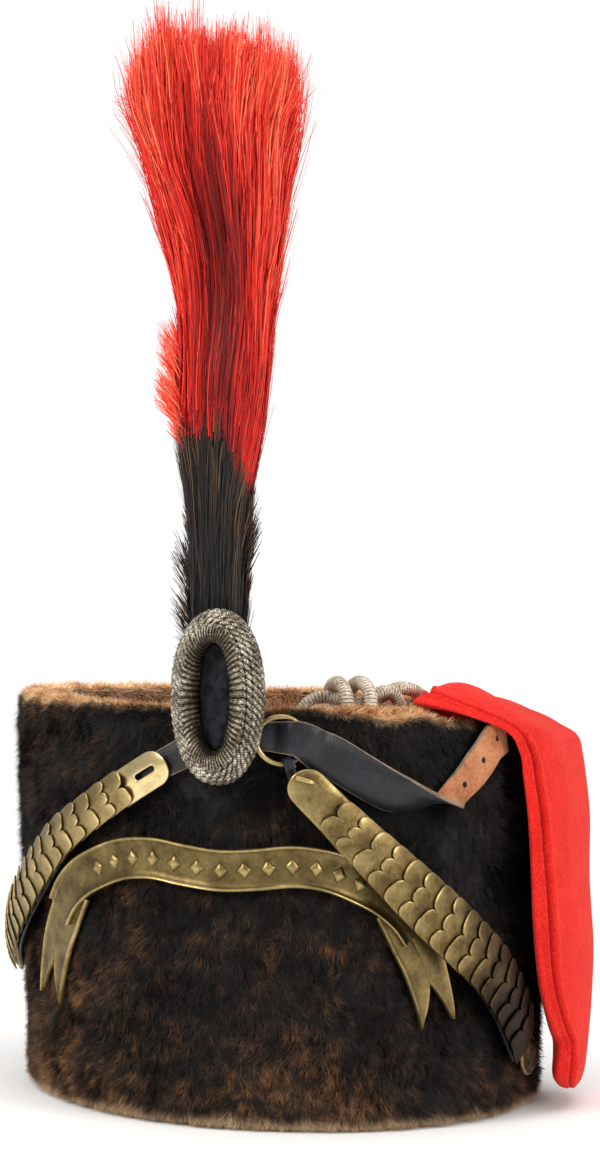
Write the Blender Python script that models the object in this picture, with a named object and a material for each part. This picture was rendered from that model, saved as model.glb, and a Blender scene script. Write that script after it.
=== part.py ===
"""A hussar's busby: a hollow fur cap with its cloth bag, cap cord, field badge, plume, scroll plate and chin scales.

Metres, +Z up. The cap rests on its lower edge at z = 0, its front is toward -Y and the wearer's left toward +X.
It is built round the axis of its lower edge, and then moved so that the origin is under the middle of its outline.
Places on the cap are given as (arc, height, lift): the length round the fur from the front, + toward +X,
the height above the lower edge, and the distance out from the fur.
"""

import math

import bmesh
import bpy
import numpy as np
from mathutils import Vector

GAP = 0.0003
CUTTER_OVER = 0.01
SHORT_STEP = 0.001

# Fur cap
HAT_HEIGHT = 0.140
BASE_HALF_WIDTH = 0.0925
BASE_HALF_DEPTH = 0.1112
RIM_HALF_WIDTH = 0.0974
RIM_HALF_DEPTH = 0.1169
RIM_SKEW = -0.006
WALL = 0.013
HEM_ROUND = 0.005
FUR_LUMP = 0.0011
RIM_DIP = 0.007
DIP_SPREAD = math.radians(58)
HAT_COLUMNS = 54

# Crown cloth
CLOTH = 0.002
CROWN_DEPTH = 0.0145
CROWN_RISE = 0.006
CROWN_FLAT = 0.5

# Bag
BAG_PLACE = 1.0
BAG_HALF_WIDTH = 0.048
BAG_STAND_OFF = 0.010
BAG_HALF_THICK = 0.0062
BAG_ROOT = 0.052
BAG_TIP_HEIGHT = 0.0065

# Cap cord
CORD_RADIUS = 0.0023
CORD_INSET = 0.022
CORD_RISE = 0.013
TURN_HALF_WIDTH = 0.0086
TURN_HALF_HEIGHT = 0.0078

# Field badge
BADGE_HALF_WIDTH = 0.0158
BADGE_HALF_HEIGHT = 0.029
BADGE_ABOVE_RIM = 0.0037
BADGE_ASIDE = 0.0015
BADGE_LIFT = 0.0048
BADGE_RING_WIDTH = 0.011
BADGE_RING_DEPTH = 0.0125
BADGE_BACK = 0.0012
BADGE_BACK_INSET = 0.0012
BADGE_ROUNDNESS = 0.92
FIELD_RISE = 0.0036
PRONG_RADIUS = 0.001
PRONG_SPREAD = 0.0115
PRONG_DEPTH = 0.022
PRONG_CLEARANCE = 0.0004
PRONG_BEND = 0.002

# Plume
PLUME_LENGTH = 0.230
PLUME_HALF_WIDTH = 0.028
PLUME_FLATNESS = 0.82
PLUME_LEAN = -0.0515
PLUME_ASIDE = -0.0025
BLACK_LENGTH = 0.081
BLACK_SLANT = 0.9
BLACK_LOCKS = 9
BLACK_GROOVE = 0.16
RED_LOCKS = 13
RED_GROOVE = 0.10
RED_TIP_GROOVE = 0.22
PLUME_CLEARANCE = 0.0015
STEM_RADIUS = 0.0025
STEM_DEPTH = 0.043
STEM_SOCKET = 0.018
TUFT_LENGTH = 0.022
TUFT_RADIUS = 0.0034
TUFT_START = 0.72
PLUME_DOME = 0.019
TIP_SLOPE = 0.010
TIP_LOCKS = 0.011
TIP_UNEVEN = 0.003

# Scroll plate
SCROLL_HALF_LENGTH = 0.063
SCROLL_WIDTH = 0.014
SCROLL_THICK = 0.001
SCROLL_BEAD = 0.001
SCROLL_LIFT = 0.001
TAIL_LIFT = 0.0004
TAIL_HALF_WIDTH = 0.0078
TAIL_NOTCH = 0.015
ORNAMENT_COUNT = 13
ORNAMENT_PITCH = 0.0078
ORNAMENT_SIZE = 0.0026
ORNAMENT_RISE = 0.0007

# Chin scales and straps
LEATHER = 0.0016
STRAP_LIFT = 0.0006
STRAP_CLIMB = 0.0031
STRAP_MARGIN = 0.0006
STRAP_START = 0.002
STRAP_UNDER_BOSS = 0.7
SCALE_COUNT = 16
SCALE_WIDTH = 0.0206
SCALE_COVER = 1.62
SCALE_THICK = 0.0006
SCALE_ARCH = 0.0016
SCALE_LOBE = 0.0022
CAP_LENGTH = 0.0165
CAP_TUCK = 0.005
CAP_THICK = 0.0008
SLOT_PLACE = 0.0085
SLOT_LENGTH = 0.008
SLOT_WIDTH = 0.002
STUD_RADIUS = 0.0008
STUD_RISE = 0.0029
BOSS_RADIUS = 0.007
BOSS_HEIGHT = 0.003
FREE_STRAP_WIDTH = 0.0142
HOLE_RADIUS = 0.0011

# Ring, placed by shares as the routes are
RING_ARC = 0.120
RING_HEIGHT = 0.929
RING_RADIUS = 0.0078
RING_WIRE = 0.00085
RING_LIFT = 0.0031
RING_TILT = 0.2
TAB_WIDTH = 0.0036
TAB_THICK = 0.0008
TAB_START = 0.008
TAB_ASIDE = -0.0042

# Routes on the cap, row by row: (share of the way from the front round to the side, share of HAT_HEIGHT)
LEFT_ROUTE = [(-0.103, 0.868), (-0.195, 0.799), (-0.300, 0.721), (-0.385, 0.659), (-0.461, 0.590),
              (-0.556, 0.511), (-0.652, 0.443), (-0.761, 0.382), (-0.906, 0.307)]
RIGHT_ROUTE = [(0.142, 0.854), (0.193, 0.789), (0.284, 0.682), (0.405, 0.554), (0.507, 0.461),
               (0.604, 0.379), (0.682, 0.296), (0.749, 0.211), (0.803, 0.146)]
SCROLL_ROUTE = [(0.0, 0.616), (0.19, 0.623), (0.38, 0.633), (0.57, 0.623), (0.76, 0.590), (0.89, 0.559),
                (1.0, 0.519)]
# Section of the scroll's band: shares of its half width, of SCROLL_THICK and of SCROLL_BEAD
SCROLL_SECTION = [(-1.0, 0, 0), (1.0, 0, 0), (1.0, 1, 1), (0.84, 1, 1), (0.74, 1, 0), (-0.74, 1, 0), (-0.84, 1, 1),
                  (-1.0, 1, 1)]
TAIL_ROUTE = [(0.92, 0.543), (1.03, 0.471), (1.135, 0.393), (1.206, 0.307), (1.23, 0.254)]

# Width of the scales: (share of the route's length from its tip, share of SCALE_WIDTH)
LEFT_WIDTHS = [(0, 0.59), (0.22, 0.61), (0.38, 0.69), (0.58, 0.845), (1.0, 0.92)]
RIGHT_WIDTHS = [(0, 0.64), (0.14, 0.68), (0.28, 0.845), (0.43, 0.98), (1.0, 1.0)]
# The right strap climbs over the scroll plate: (share of the route's length, share of STRAP_CLIMB)
RIGHT_CLIMB = [(0.0, 0.85), (0.14, 1.0), (0.52, 1.0), (0.95, 0.1)]

# Section of a boss: (share of BOSS_RADIUS, share of BOSS_HEIGHT)
BOSS_SECTION = [(1.0, 0.0), (1.0, 0.25), (0.82, 0.66), (0.5, 0.92), (0.16, 1.0)]
# Stud's wire: (share of SLOT_PLACE from the tip, share of STUD_RISE)
STUD_LINE = [(1.10, 0.1), (1.07, 0.55), (0.98, 0.9), (0.73, 1.0), (0.42, 1.0)]

# Free end of the left strap: share of the way round to the side, share of HAT_HEIGHT, share of RING_LIFT that its
# lower edge stands above STRAP_LIFT, and its turn about its own length in degrees
FREE_END = [(-0.103, 0.868, 0, 0), (-0.054, 0.897, 0, 0), (0.006, 0.921, 0, 0), (0.060, 0.933, 0, 0),
            (0.098, 0.936, 0.0, 0), (0.109, 0.936, 0.10, 0), (0.122, 0.936, 0.62, 0), (0.136, 0.936, 1.02, 0),
            (0.150, 0.935, 1.02, 0), (0.168, 0.926, 0.92, 0),
            (0.177, 0.919, 0.68, 0), (0.195, 0.907, 0.10, 0), (0.230, 0.887, 0.0, 2), (0.290, 0.843, 0, 14),
            (0.344, 0.809, 0, 32),
            (0.399, 0.790, 0, 60), (0.441, 0.787, 0, 82), (0.468, 0.797, 0, 112), (0.495, 0.821, 0, 150),
            (0.531, 0.856, 0, 176), (0.570, 0.892, 0, 180), (0.600, 0.924, 0, 180), (0.621, 0.942, 0, 180)]
# Its width: (share of its length, share of FREE_STRAP_WIDTH). The row at 0.1 is where it enters the ring.
FREE_WIDTHS = [(0.0, 0.79), (0.10, 0.65), (0.24, 0.65), (0.40, 1.0), (0.93, 0.94), (1.0, 0.45)]
# Buckle holes near its end
STRAP_HOLES = [(0.513, 0.834), (0.570, 0.892), (0.616, 0.939)]

# Cap cord: share of the way round to the side, share of CORD_INSET in from the fur, and share of CORD_RISE that
# it stands above the crown
LONG_CORD = [(0.122, 1.24, 0.0), (0.150, 1.22, 0.0), (0.168, 1.20, 0.28), (0.192, 1.18, 0.76), (0.220, 1.16, 1.0),
             (0.250, 1.15, 1.08), (0.285, 1.15, 1.02), (0.320, 1.16, 0.90), (0.360, 1.17, 0.86), (0.400, 1.17, 0.98),
             (0.440, 1.17, 1.18), (0.480, 1.16, 1.32), (0.520, 1.15, 1.34), (0.560, 1.15, 1.22), (0.595, 1.16, 0.98),
             (0.628, 1.18, 0.55), (0.650, 1.20, 0.15), (0.668, 1.22, 0.0), (0.690, 1.24, 0.0)]
SHORT_CORD = [(0.130, 0.96, 0.0), (0.160, 0.95, 0.0), (0.182, 0.94, 0.35), (0.210, 0.93, 0.7), (0.240, 0.93, 0.8),
              (0.275, 0.93, 0.76), (0.310, 0.93, 0.78), (0.345, 0.93, 0.95), (0.380, 0.93, 1.2), (0.415, 0.93, 1.32),
              (0.445, 0.93, 1.2), (0.470, 0.94, 0.8), (0.488, 0.95, 0.25), (0.505, 0.96, 0.0), (0.530, 0.98, 0.0)]
# Turns of cord round both: share of the way round to the side, and lean of the loop
CORD_TURNS = [(0.284, 0.08), (0.345, -0.05)]

# Bag sections from its root on the crown to its tip. Each holds its distance in from the fur as a share of BAG_ROOT,
# its distance out as a share of BAG_STAND_OFF, its height as a share of the local rim height above the tip, its half
# width as a share of BAG_HALF_WIDTH and its half thickness as a share of BAG_HALF_THICK. A section without a height is
# sewn down on the crown.
BAG_SECTIONS = [
    # in, out, height, half width, half thickness
    (1.06, 0.00, None, 0.88, 0.14),
    (0.94, 0.00, None, 0.92, 0.20),
    (0.75, 0.00, 1.012, 1.04, 0.34),
    (0.54, 0.00, 1.034, 1.14, 0.42),
    (0.39, 0.00, 1.038, 1.32, 0.45),
    (0.25, 0.00, 1.039, 1.76, 0.45),
    (0.08, 0.00, 1.036, 1.92, 0.44),
    (0.00, 0.54, 0.985, 1.53, 0.40),
    (0.00, 0.68, 0.930, 1.34, 0.52),
    (0.00, 0.73, 0.870, 1.26, 0.68),
    (0.00, 0.86, 0.752, 1.12, 0.85),
    (0.00, 0.97, 0.600, 1.06, 0.95),
    (0.00, 1.00, 0.450, 1.00, 1.00),
    (0.00, 0.98, 0.300, 0.89, 0.97),
    (0.00, 0.93, 0.180, 0.68, 0.87),
    (0.00, 0.88, 0.085, 0.48, 0.70),
    (0.00, 0.85, 0.000, 0.26, 0.34),
]

# Section of the badge's ring: (share of BADGE_RING_WIDTH in from its edge, share of BADGE_RING_DEPTH)
BADGE_SECTION = [(0.07, 0.0), (0.0, 0.26), (0.05, 0.55), (0.22, 0.82), (0.46, 0.98), (0.72, 1.0), (0.90, 0.84),
                 (0.99, 0.55), (1.0, 0.25), (1.0, 0.0)]
# Section of the velvet middle: (inset, depth) as shares of FIELD_RISE
FIELD_SECTION = [(0.0, 0.0), (0.0, 0.61), (0.22, 0.83), (0.72, 1.0)]

# Plume outline: (share of the length from the rim, half width as a share of PLUME_HALF_WIDTH)
PLUME_OUTLINE = [(0.0, 0.24), (0.06, 0.31), (0.14, 0.36), (0.29, 0.36), (0.38, 0.48), (0.44, 0.57),
                 (0.51, 0.63), (0.58, 0.63), (0.65, 0.69), (0.72, 0.79), (0.80, 0.90), (0.87, 1.0),
                 (0.925, 1.0)]
# Splayed locks: share of the hair's length where they start, direction in degrees from +X, and reach as a share of
# PLUME_HALF_WIDTH
BLACK_TUFTS = [(0.16, 182, 0.60), (0.34, 168, 0.54), (0.52, 190, 0.50), (0.68, 174, 0.46), (0.20, -6, 0.56),
               (0.38, 10, 0.52), (0.56, -4, 0.46), (0.30, 270, 0.44), (0.50, 75, 0.44)]
RED_TUFTS = [(0.10, 184, 0.86), (0.16, 204, 0.80)]

MATERIALS = {
    # colour, roughness, metallic
    "dark_fur": ("#2B211A", 0.9, 0.0),
    "red_cloth": ("#D8241F", 0.9, 0.0),
    "silver_cord": ("#9A9382", 0.45, 0.8),
    "black_velvet": ("#141418", 0.95, 0.0),
    "brass": ("#A88F58", 0.35, 1.0),
    "dark_leather": ("#23252B", 0.5, 0.0),
    "red_hair": ("#D9281E", 0.6, 0.0),
    "black_hair": ("#1A1512", 0.6, 0.0),
    "steel_wire": ("#8C8C88", 0.35, 1.0),
}


def linear_colour(text):
    """The linear RGBA of an sRGB hex colour."""
    parts = [int(text[i : i + 2], 16) / 255 for i in (1, 3, 5)]
    return [c / 12.92 if c <= 0.04045 else ((c + 0.055) / 1.055) ** 2.4 for c in parts] + [1.0]


def material(name):
    made = bpy.data.materials.get(name)
    if made:
        return made
    colour, roughness, metallic = MATERIALS[name]
    made = bpy.data.materials.new(name)
    made.use_nodes = True
    shader = made.node_tree.nodes["Principled BSDF"]
    shader.inputs["Base Color"].default_value = linear_colour(colour)
    shader.inputs["Roughness"].default_value = roughness
    shader.inputs["Metallic"].default_value = metallic
    return made


def add_object(name, points, faces, finish, smooth_angle=40):
    """One closed mesh object with its faces turned outward."""
    mesh = bpy.data.meshes.new(name)
    mesh.from_pydata([tuple(p) for p in points], [], faces)
    shape = bmesh.new()
    shape.from_mesh(mesh)
    bmesh.ops.recalc_face_normals(shape, faces=shape.faces)
    shape.to_mesh(mesh)
    shape.free()
    mesh.materials.append(material(finish))
    mesh.shade_smooth()
    mesh.set_sharp_from_angle(angle=math.radians(smooth_angle))
    made = bpy.data.objects.new(name, mesh)
    bpy.context.scene.collection.objects.link(made)
    return made


def loft(rings, closed=False):
    """Points and faces through rings of equally many points, with flat ends, or joined end to end."""
    count = len(rings[0])
    points = [p for ring in rings for p in ring]
    faces = []
    steps = len(rings) if closed else len(rings) - 1
    for i in range(steps):
        a, b = i * count, (i + 1) % len(rings) * count
        for j in range(count):
            k = (j + 1) % count
            faces.append((a + j, a + k, b + k, b + j))
    if not closed:
        faces.append(tuple(range(count)))
        last = (len(rings) - 1) * count
        faces.append(tuple(last + j for j in range(count)))
    return points, faces


def combine(target, tool, operation):
    """A Boolean modifier on target. The tool is a helper that isn't part of the cap."""
    tool.hide_render = True
    tool.display_type = "WIRE"
    step = target.modifiers.new(f"{operation.lower()}_{tool.name}", "BOOLEAN")
    step.operation = operation
    step.object = tool


def smooth_line(rows, count):
    """Evenly spaced points of the smooth curve through rows, each a tuple of numbers."""
    knots = np.array(rows, float)
    padded = np.vstack([2 * knots[0] - knots[1], knots, 2 * knots[-1] - knots[-2]])
    fine = []
    for i in range(len(knots) - 1):
        p0, p1, p2, p3 = padded[i : i + 4]
        for t in np.linspace(0, 1, 24, endpoint=False):
            fine.append(
                0.5 * (2 * p1 + (p2 - p0) * t + (2 * p0 - 5 * p1 + 4 * p2 - p3) * t**2
                       + (3 * p1 - p0 - 3 * p2 + p3) * t**3)
            )
    fine = np.array(fine + [knots[-1]])
    steps = np.linalg.norm(np.diff(fine[:, :2], axis=0), axis=1)
    along = np.concatenate([[0], np.cumsum(steps)])
    wanted = np.linspace(0, along[-1], count)
    return np.stack([np.interp(wanted, along, fine[:, k]) for k in range(fine.shape[1])], axis=1)


def cap_angles():
    """Arc lengths round the middle of the cap's height, and the ellipse angle at each."""
    angles = np.linspace(-math.pi, math.pi, 2881)
    wide = (BASE_HALF_WIDTH + RIM_HALF_WIDTH) / 2
    deep = (BASE_HALF_DEPTH + RIM_HALF_DEPTH) / 2
    speed = np.hypot(wide * np.cos(angles), deep * np.sin(angles))
    arcs = np.concatenate([[0], np.cumsum((speed[1:] + speed[:-1]) / 2 * np.diff(angles))])
    return arcs - arcs[len(arcs) // 2], angles


ARCS, ANGLES = cap_angles()
QUARTER = float(np.interp(math.pi / 2, ANGLES, ARCS))


def angle_at(arc):
    return float(np.interp(arc, ARCS, ANGLES))


def half_depth(height):
    """Half of the cap's depth from front to back at a height."""
    return BASE_HALF_DEPTH + (RIM_HALF_DEPTH - BASE_HALF_DEPTH) * height / HAT_HEIGHT


def at_angle(angle, height, lift=0.0):
    """The point on the cap's outer form at an ellipse angle, moved out by lift."""
    share = height / HAT_HEIGHT
    wide = BASE_HALF_WIDTH + (RIM_HALF_WIDTH - BASE_HALF_WIDTH) * share
    deep = half_depth(height)
    out = Vector((math.sin(angle) / wide, -math.cos(angle) / deep, 0)).normalized()
    return Vector((wide * math.sin(angle) + RIM_SKEW * share, -deep * math.cos(angle), height)) + out * lift


def on_cap(arc, height, lift=0.0):
    return at_angle(angle_at(arc), height, lift)


def rim_height(angle):
    """Height of the fur rim, which the bag weighs down on its side."""
    away = abs(angle - math.pi / 2)
    sunk = math.cos(away / DIP_SPREAD * math.pi / 2) ** 2 if away < DIP_SPREAD else 0.0
    return HAT_HEIGHT - RIM_DIP * sunk


def make_fur_body():
    """The fur wall: a flat lower edge, a rounded hem, lumpy sides and a full round rim."""
    half = WALL / 2
    rings = []
    for j in range(HAT_COLUMNS):
        angle = 2 * math.pi * j / HAT_COLUMNS - math.pi
        top = rim_height(angle)
        section = [(WALL, 0.0), (HEM_ROUND, 0.0)]
        section += [(HEM_ROUND * (1 - math.sin(t)), HEM_ROUND * (1 - math.cos(t)))
                    for t in (math.pi / 6, math.pi / 3, math.pi / 2)]
        for share in (0.24, 0.48, 0.72):
            height = share * top
            lump = math.sin(5 * angle + 9 * share) * math.cos(8 * angle - 14 * share)
            section.append((FUR_LUMP * (0.5 + 0.5 * lump), height))
        section += [(half * (1 - math.cos(t)), top - half + half * math.sin(t))
                    for t in np.linspace(0, math.pi, 7)]
        rings.append([at_angle(angle, height, -inset) for inset, height in section])
    points, faces = loft(rings, closed=True)
    return add_object("fur_body", points, faces, "dark_fur", smooth_angle=60)


CROWN_EDGE = HAT_HEIGHT - CROWN_DEPTH


def crown_height(point):
    """Height of the crown's upper face above or below a point: it slopes up from its edge and is flat in its middle."""
    middle = RIM_SKEW * CROWN_EDGE / HAT_HEIGHT
    share = math.hypot((point.x - middle) / (RIM_HALF_WIDTH - WALL), point.y / (RIM_HALF_DEPTH - WALL))
    return CROWN_EDGE + CROWN_RISE * min(1.0, (1 - share) / (1 - CROWN_FLAT))


def make_crown_cloth():
    """A slightly raised cloth disc inside the rim."""

    def ring(share, drop):
        middle = Vector((RIM_SKEW * CROWN_EDGE / HAT_HEIGHT, 0, 0))
        height = CROWN_EDGE + CROWN_RISE * (1 - share) / (1 - CROWN_FLAT) - drop
        points = []
        for j in range(HAT_COLUMNS):
            side = at_angle(2 * math.pi * j / HAT_COLUMNS - math.pi, CROWN_EDGE - drop, -WALL - GAP)
            point = middle + (side - middle) * share
            points.append(Vector((point.x, point.y, height)))
        return points

    points, faces = loft([ring(CROWN_FLAT, CLOTH), ring(1.0, CLOTH), ring(1.0, 0.0), ring(CROWN_FLAT, 0.0)])
    return add_object("crown_cloth", points, faces, "red_cloth")


def make_bag():
    """The cloth bag: it leaves the crown, lies over the rim and hangs at the side as a slack pouch."""
    around = 20
    crown = CROWN_EDGE + CROWN_RISE
    middle = [(out * BAG_STAND_OFF - inset * BAG_ROOT, crown if above is None else above * HAT_HEIGHT)
              for inset, out, above, _, _ in BAG_SECTIONS]
    rings = []
    for i, (_, _, above, width, thick) in enumerate(BAG_SECTIONS):
        before, after = middle[max(i - 1, 0)], middle[min(i + 1, len(middle) - 1)]
        way = Vector((after[0] - before[0], after[1] - before[1])).normalized()
        ring = []
        for j in range(around):
            turn = 2 * math.pi * j / around
            arc = BAG_PLACE * QUARTER - math.cos(turn) * width * BAG_HALF_WIDTH
            reach = math.sin(turn) * thick * BAG_HALF_THICK
            if above is None:
                point = on_cap(arc, CROWN_EDGE, middle[i][0])
                point.z = crown_height(point) + GAP + thick * BAG_HALF_THICK + reach
            else:
                height = BAG_TIP_HEIGHT + (rim_height(angle_at(arc)) - BAG_TIP_HEIGHT) * above
                point = on_cap(arc, height + way.x * reach, middle[i][0] - way.y * reach)
            ring.append(point)
        rings.append(ring)
    points, faces = loft(rings)
    return add_object("bag", points, faces, "red_cloth", smooth_angle=60)


def tube_rings(line, radius, sides, closed=False):
    """Rings of a tube along line, carried without twist."""
    line = [Vector(p) for p in line]
    rings = []
    normal = None
    for i, p in enumerate(line):
        if closed:
            way = (line[(i + 1) % len(line)] - line[i - 1]).normalized()
        else:
            way = (line[min(i + 1, len(line) - 1)] - line[max(i - 1, 0)]).normalized()
        if normal is None:
            normal = way.orthogonal().normalized()
        normal = (normal - way * normal.dot(way)).normalized()
        side = way.cross(normal)
        rings.append([
            p + radius * (math.cos(2 * math.pi * j / sides) * normal + math.sin(2 * math.pi * j / sides) * side)
            for j in range(sides)
        ])
    return rings


def cord_point(arc, inset, rise):
    """A point over the crown, from shares as in the cap cord's tables."""
    point = on_cap(arc * QUARTER, CROWN_EDGE, -inset * CORD_INSET)
    point.z = crown_height(point) + CORD_RADIUS + GAP + rise * CORD_RISE
    return point


def make_cap_cord():
    """Two lengths of silver cord laid on the crown behind the front rim, with turns of cord round both."""
    for name, rows, count in (("cap_cord_long", LONG_CORD, 34), ("cap_cord_short", SHORT_CORD, 26)):
        line = [cord_point(*row) for row in smooth_line(rows, count)]
        points, faces = loft(tube_rings(line, CORD_RADIUS, 6))
        add_object(name, points, faces, "silver_cord")
    for number, (arc, lean) in enumerate(CORD_TURNS, 1):
        middle = (cord_at(LONG_CORD, arc) + cord_at(SHORT_CORD, arc)) / 2
        across = (cord_at(LONG_CORD, arc) - cord_at(SHORT_CORD, arc)) * Vector((1, 1, 0))
        out = across.normalized()
        along = Vector((-out.y, out.x, 0))
        loop = []
        for j in range(18):
            turn = 2 * math.pi * j / 18
            up = TURN_HALF_HEIGHT * math.sin(turn)
            loop.append(middle + out * (TURN_HALF_WIDTH * math.cos(turn)) + Vector((0, 0, up)) + along * (lean * up))
        points, faces = loft(tube_rings(loop, CORD_RADIUS, 6, closed=True), closed=True)
        add_object(f"cap_cord_turn_{number}", points, faces, "silver_cord")


def cord_at(rows, arc):
    """Where a length of cord passes a share of the way round to the side."""
    arcs, insets, rises = zip(*rows)
    return cord_point(arc, float(np.interp(arc, arcs, insets)), float(np.interp(arc, arcs, rises)))


def badge_frame():
    """Middle of the badge's back, its right and its up directions. It clears the cap over its whole height."""
    height = HAT_HEIGHT + BADGE_ABOVE_RIM
    back = max(half_depth(height), half_depth(height - BADGE_HALF_HEIGHT)) + BADGE_LIFT
    lean = math.atan2(-RIM_SKEW, HAT_HEIGHT)
    up = Vector((-math.sin(lean), 0, math.cos(lean)))
    right = Vector((math.cos(lean), 0, math.sin(lean)))
    return Vector((RIM_SKEW * height / HAT_HEIGHT + BADGE_ASIDE, -back, height)), right, up


def oval(inset, depth, sides=28):
    """A ring of points of the badge's oval, drawn in by inset, at a depth in front of its back."""
    middle, right, up = badge_frame()
    ring = []
    for j in range(sides):
        turn = 2 * math.pi * j / sides
        across, high = math.cos(turn), math.sin(turn)
        across = math.copysign(abs(across) ** BADGE_ROUNDNESS, across) * (BADGE_HALF_WIDTH - inset)
        high = math.copysign(abs(high) ** BADGE_ROUNDNESS, high) * (BADGE_HALF_HEIGHT - inset)
        ring.append(middle + right * across + up * high + Vector((0, -depth, 0)))
    return ring


def make_badge():
    """Field badge: a padded ring wound with silver cord, a black velvet middle and a back plate with two prongs."""
    start = BADGE_BACK + GAP
    rings = [oval(inset * BADGE_RING_WIDTH, start + depth * BADGE_RING_DEPTH) for inset, depth in BADGE_SECTION]
    points, faces = loft(rings, closed=True)
    add_object("badge_ring", points, faces, "silver_cord", smooth_angle=60)

    edge = BADGE_RING_WIDTH + GAP
    rings = [oval(edge + inset * FIELD_RISE, start + depth * FIELD_RISE) for inset, depth in FIELD_SECTION]
    points, faces = loft(rings)
    add_object("badge_field", points, faces, "black_velvet")

    points, faces = loft([oval(BADGE_BACK_INSET, 0.0), oval(BADGE_BACK_INSET, BADGE_BACK)])
    plate = add_object("badge_back", points, faces, "steel_wire")
    for side in (-1, 1):
        points, faces = loft(tube_rings(prong_line(side), PRONG_RADIUS, 8))
        prong = add_object(f"prong_{'left' if side < 0 else 'right'}", points, faces, "steel_wire")
        combine(plate, prong, "UNION")


def prong_line(side, longer=0.0):
    """A prong's middle line: back from the plate, over the rim and down into the wall."""
    middle, right, _ = badge_frame()
    start = middle + right * (side * PRONG_SPREAD)
    top = HAT_HEIGHT + PRONG_RADIUS + 2 * GAP
    inside = -(RIM_HALF_DEPTH - WALL / 2)
    corner = PRONG_BEND * (1 - math.sqrt(0.5))
    return [
        Vector((start.x, start.y - BADGE_BACK / 2, top)),
        Vector((start.x, inside - PRONG_BEND, top)),
        Vector((start.x, inside - corner, top - corner)),
        Vector((start.x, inside, top - PRONG_BEND)),
        Vector((start.x, inside, HAT_HEIGHT - PRONG_DEPTH - longer)),
    ]


def plume_axis(height):
    """The plume's middle line at a height, leaning with the front of the cap."""
    start = RIM_SKEW + PLUME_ASIDE
    return Vector((start + PLUME_LEAN * (height - HAT_HEIGHT), -(RIM_HALF_DEPTH - WALL / 2), height))


def plume_width(height):
    share = (height - HAT_HEIGHT) / PLUME_LENGTH
    shares, widths = zip(*PLUME_OUTLINE)
    return float(np.interp(share, shares, widths)) * PLUME_HALF_WIDTH


def plume_ring(height, locks, groove, slant=0.0, scale=1.0, tips=None):
    """A ring of the plume: locks of hair as ribs, grooves between them, and uneven tips."""
    ring = []
    columns = locks * 3
    for j in range(columns):
        turn = 2 * math.pi * j / columns
        rib = 0.5 + 0.5 * math.cos(locks * turn)
        radius = plume_width(height) * scale * (1 - groove * (1 - rib))
        across = radius * math.cos(turn)
        high = height - slant * across
        if tips:
            high += tips(turn, rib)
        ring.append(plume_axis(high) + Vector((across, radius * PLUME_FLATNESS * math.sin(turn), 0)))
    return ring


def make_plume():
    """Black hair below, bound on a stem with an open socket, and red hair above it."""
    start = HAT_HEIGHT + PLUME_CLEARANCE
    change = HAT_HEIGHT + BLACK_LENGTH
    sides = 27

    def socket(height):
        middle = plume_axis(height)
        radius = STEM_RADIUS + GAP
        return [middle + radius * Vector((math.cos(2 * math.pi * j / sides), math.sin(2 * math.pi * j / sides), 0))
                for j in range(sides)]

    rings = [socket(start + STEM_SOCKET), socket(start)]
    rings += [plume_ring(start + (change - start) * share, BLACK_LOCKS, BLACK_GROOVE, BLACK_SLANT * share**2)
              for share in (0.0, 0.2, 0.42, 0.66, 0.86)]
    rings.append(plume_ring(change - GAP, BLACK_LOCKS, BLACK_GROOVE, BLACK_SLANT))
    points, faces = loft(rings)
    black = add_object("plume_black", points, faces, "black_hair", smooth_angle=60)
    for number, (share, turn, reach) in enumerate(BLACK_TUFTS, 1):
        height = start + share * (change - start)
        combine(black, make_tuft(f"black_tuft_{number}", height, turn, reach), "UNION")

    def tips(turn, rib):
        slope = TIP_SLOPE * (math.cos(turn) - 0.35) ** 2
        return TIP_LOCKS * (rib - 0.5) + TIP_UNEVEN * math.sin(7 * turn + 1) - slope

    top = HAT_HEIGHT + PLUME_LENGTH
    rings = [plume_ring(change + GAP, RED_LOCKS, RED_GROOVE, BLACK_SLANT)]
    for share in (0.12, 0.28, 0.44, 0.60, 0.76, 0.88):
        height = change + (top - PLUME_DOME - change) * share
        groove = RED_GROOVE + (RED_TIP_GROOVE - RED_GROOVE) * share
        rings.append(plume_ring(height, RED_LOCKS, groove, BLACK_SLANT * (1 - share) ** 3))
    for drop, scale in ((1.0, 0.98), (0.45, 0.76), (0.35, 0.40)):
        rings.append(plume_ring(top - drop * PLUME_DOME, RED_LOCKS, RED_TIP_GROOVE, scale=scale, tips=tips))
    points, faces = loft(rings)
    red = add_object("plume_red", points, faces, "red_hair", smooth_angle=60)
    for number, (share, turn, reach) in enumerate(RED_TUFTS, 1):
        height = change + share * (PLUME_LENGTH - BLACK_LENGTH)
        combine(red, make_tuft(f"red_tuft_{number}", height, turn, reach), "UNION")

    line = [plume_axis(HAT_HEIGHT - STEM_DEPTH), plume_axis(start + STEM_SOCKET - GAP)]
    points, faces = loft(tube_rings(line, STEM_RADIUS, 16))
    add_object("plume_stem", points, faces, "steel_wire")


def make_tuft(name, height, degrees, reach):
    """A pointed lock that starts inside the plume and splays up and out of it."""
    turn = math.radians(degrees)
    out = Vector((math.cos(turn), math.sin(turn) * PLUME_FLATNESS, 0))
    side = Vector((-out.y, out.x, 0)).normalized()
    start = plume_width(height) * TUFT_START
    end = reach * PLUME_HALF_WIDTH
    rings = []
    for share, radius in ((0.0, 1.0), (0.4, 1.0), (0.75, 0.6), (1.0, 0.15)):
        middle = plume_axis(height + TUFT_LENGTH * share) + out * (start + (end - start) * share**0.8)
        rings.append([middle + TUFT_RADIUS * radius * (0.6 * math.cos(a) * out + math.sin(a) * side)
                      for a in (0.3, 1.5, 2.8, 4.1, 5.3)])
    points, faces = loft(rings)
    return add_object(name, points, faces, "black_hair")


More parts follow.
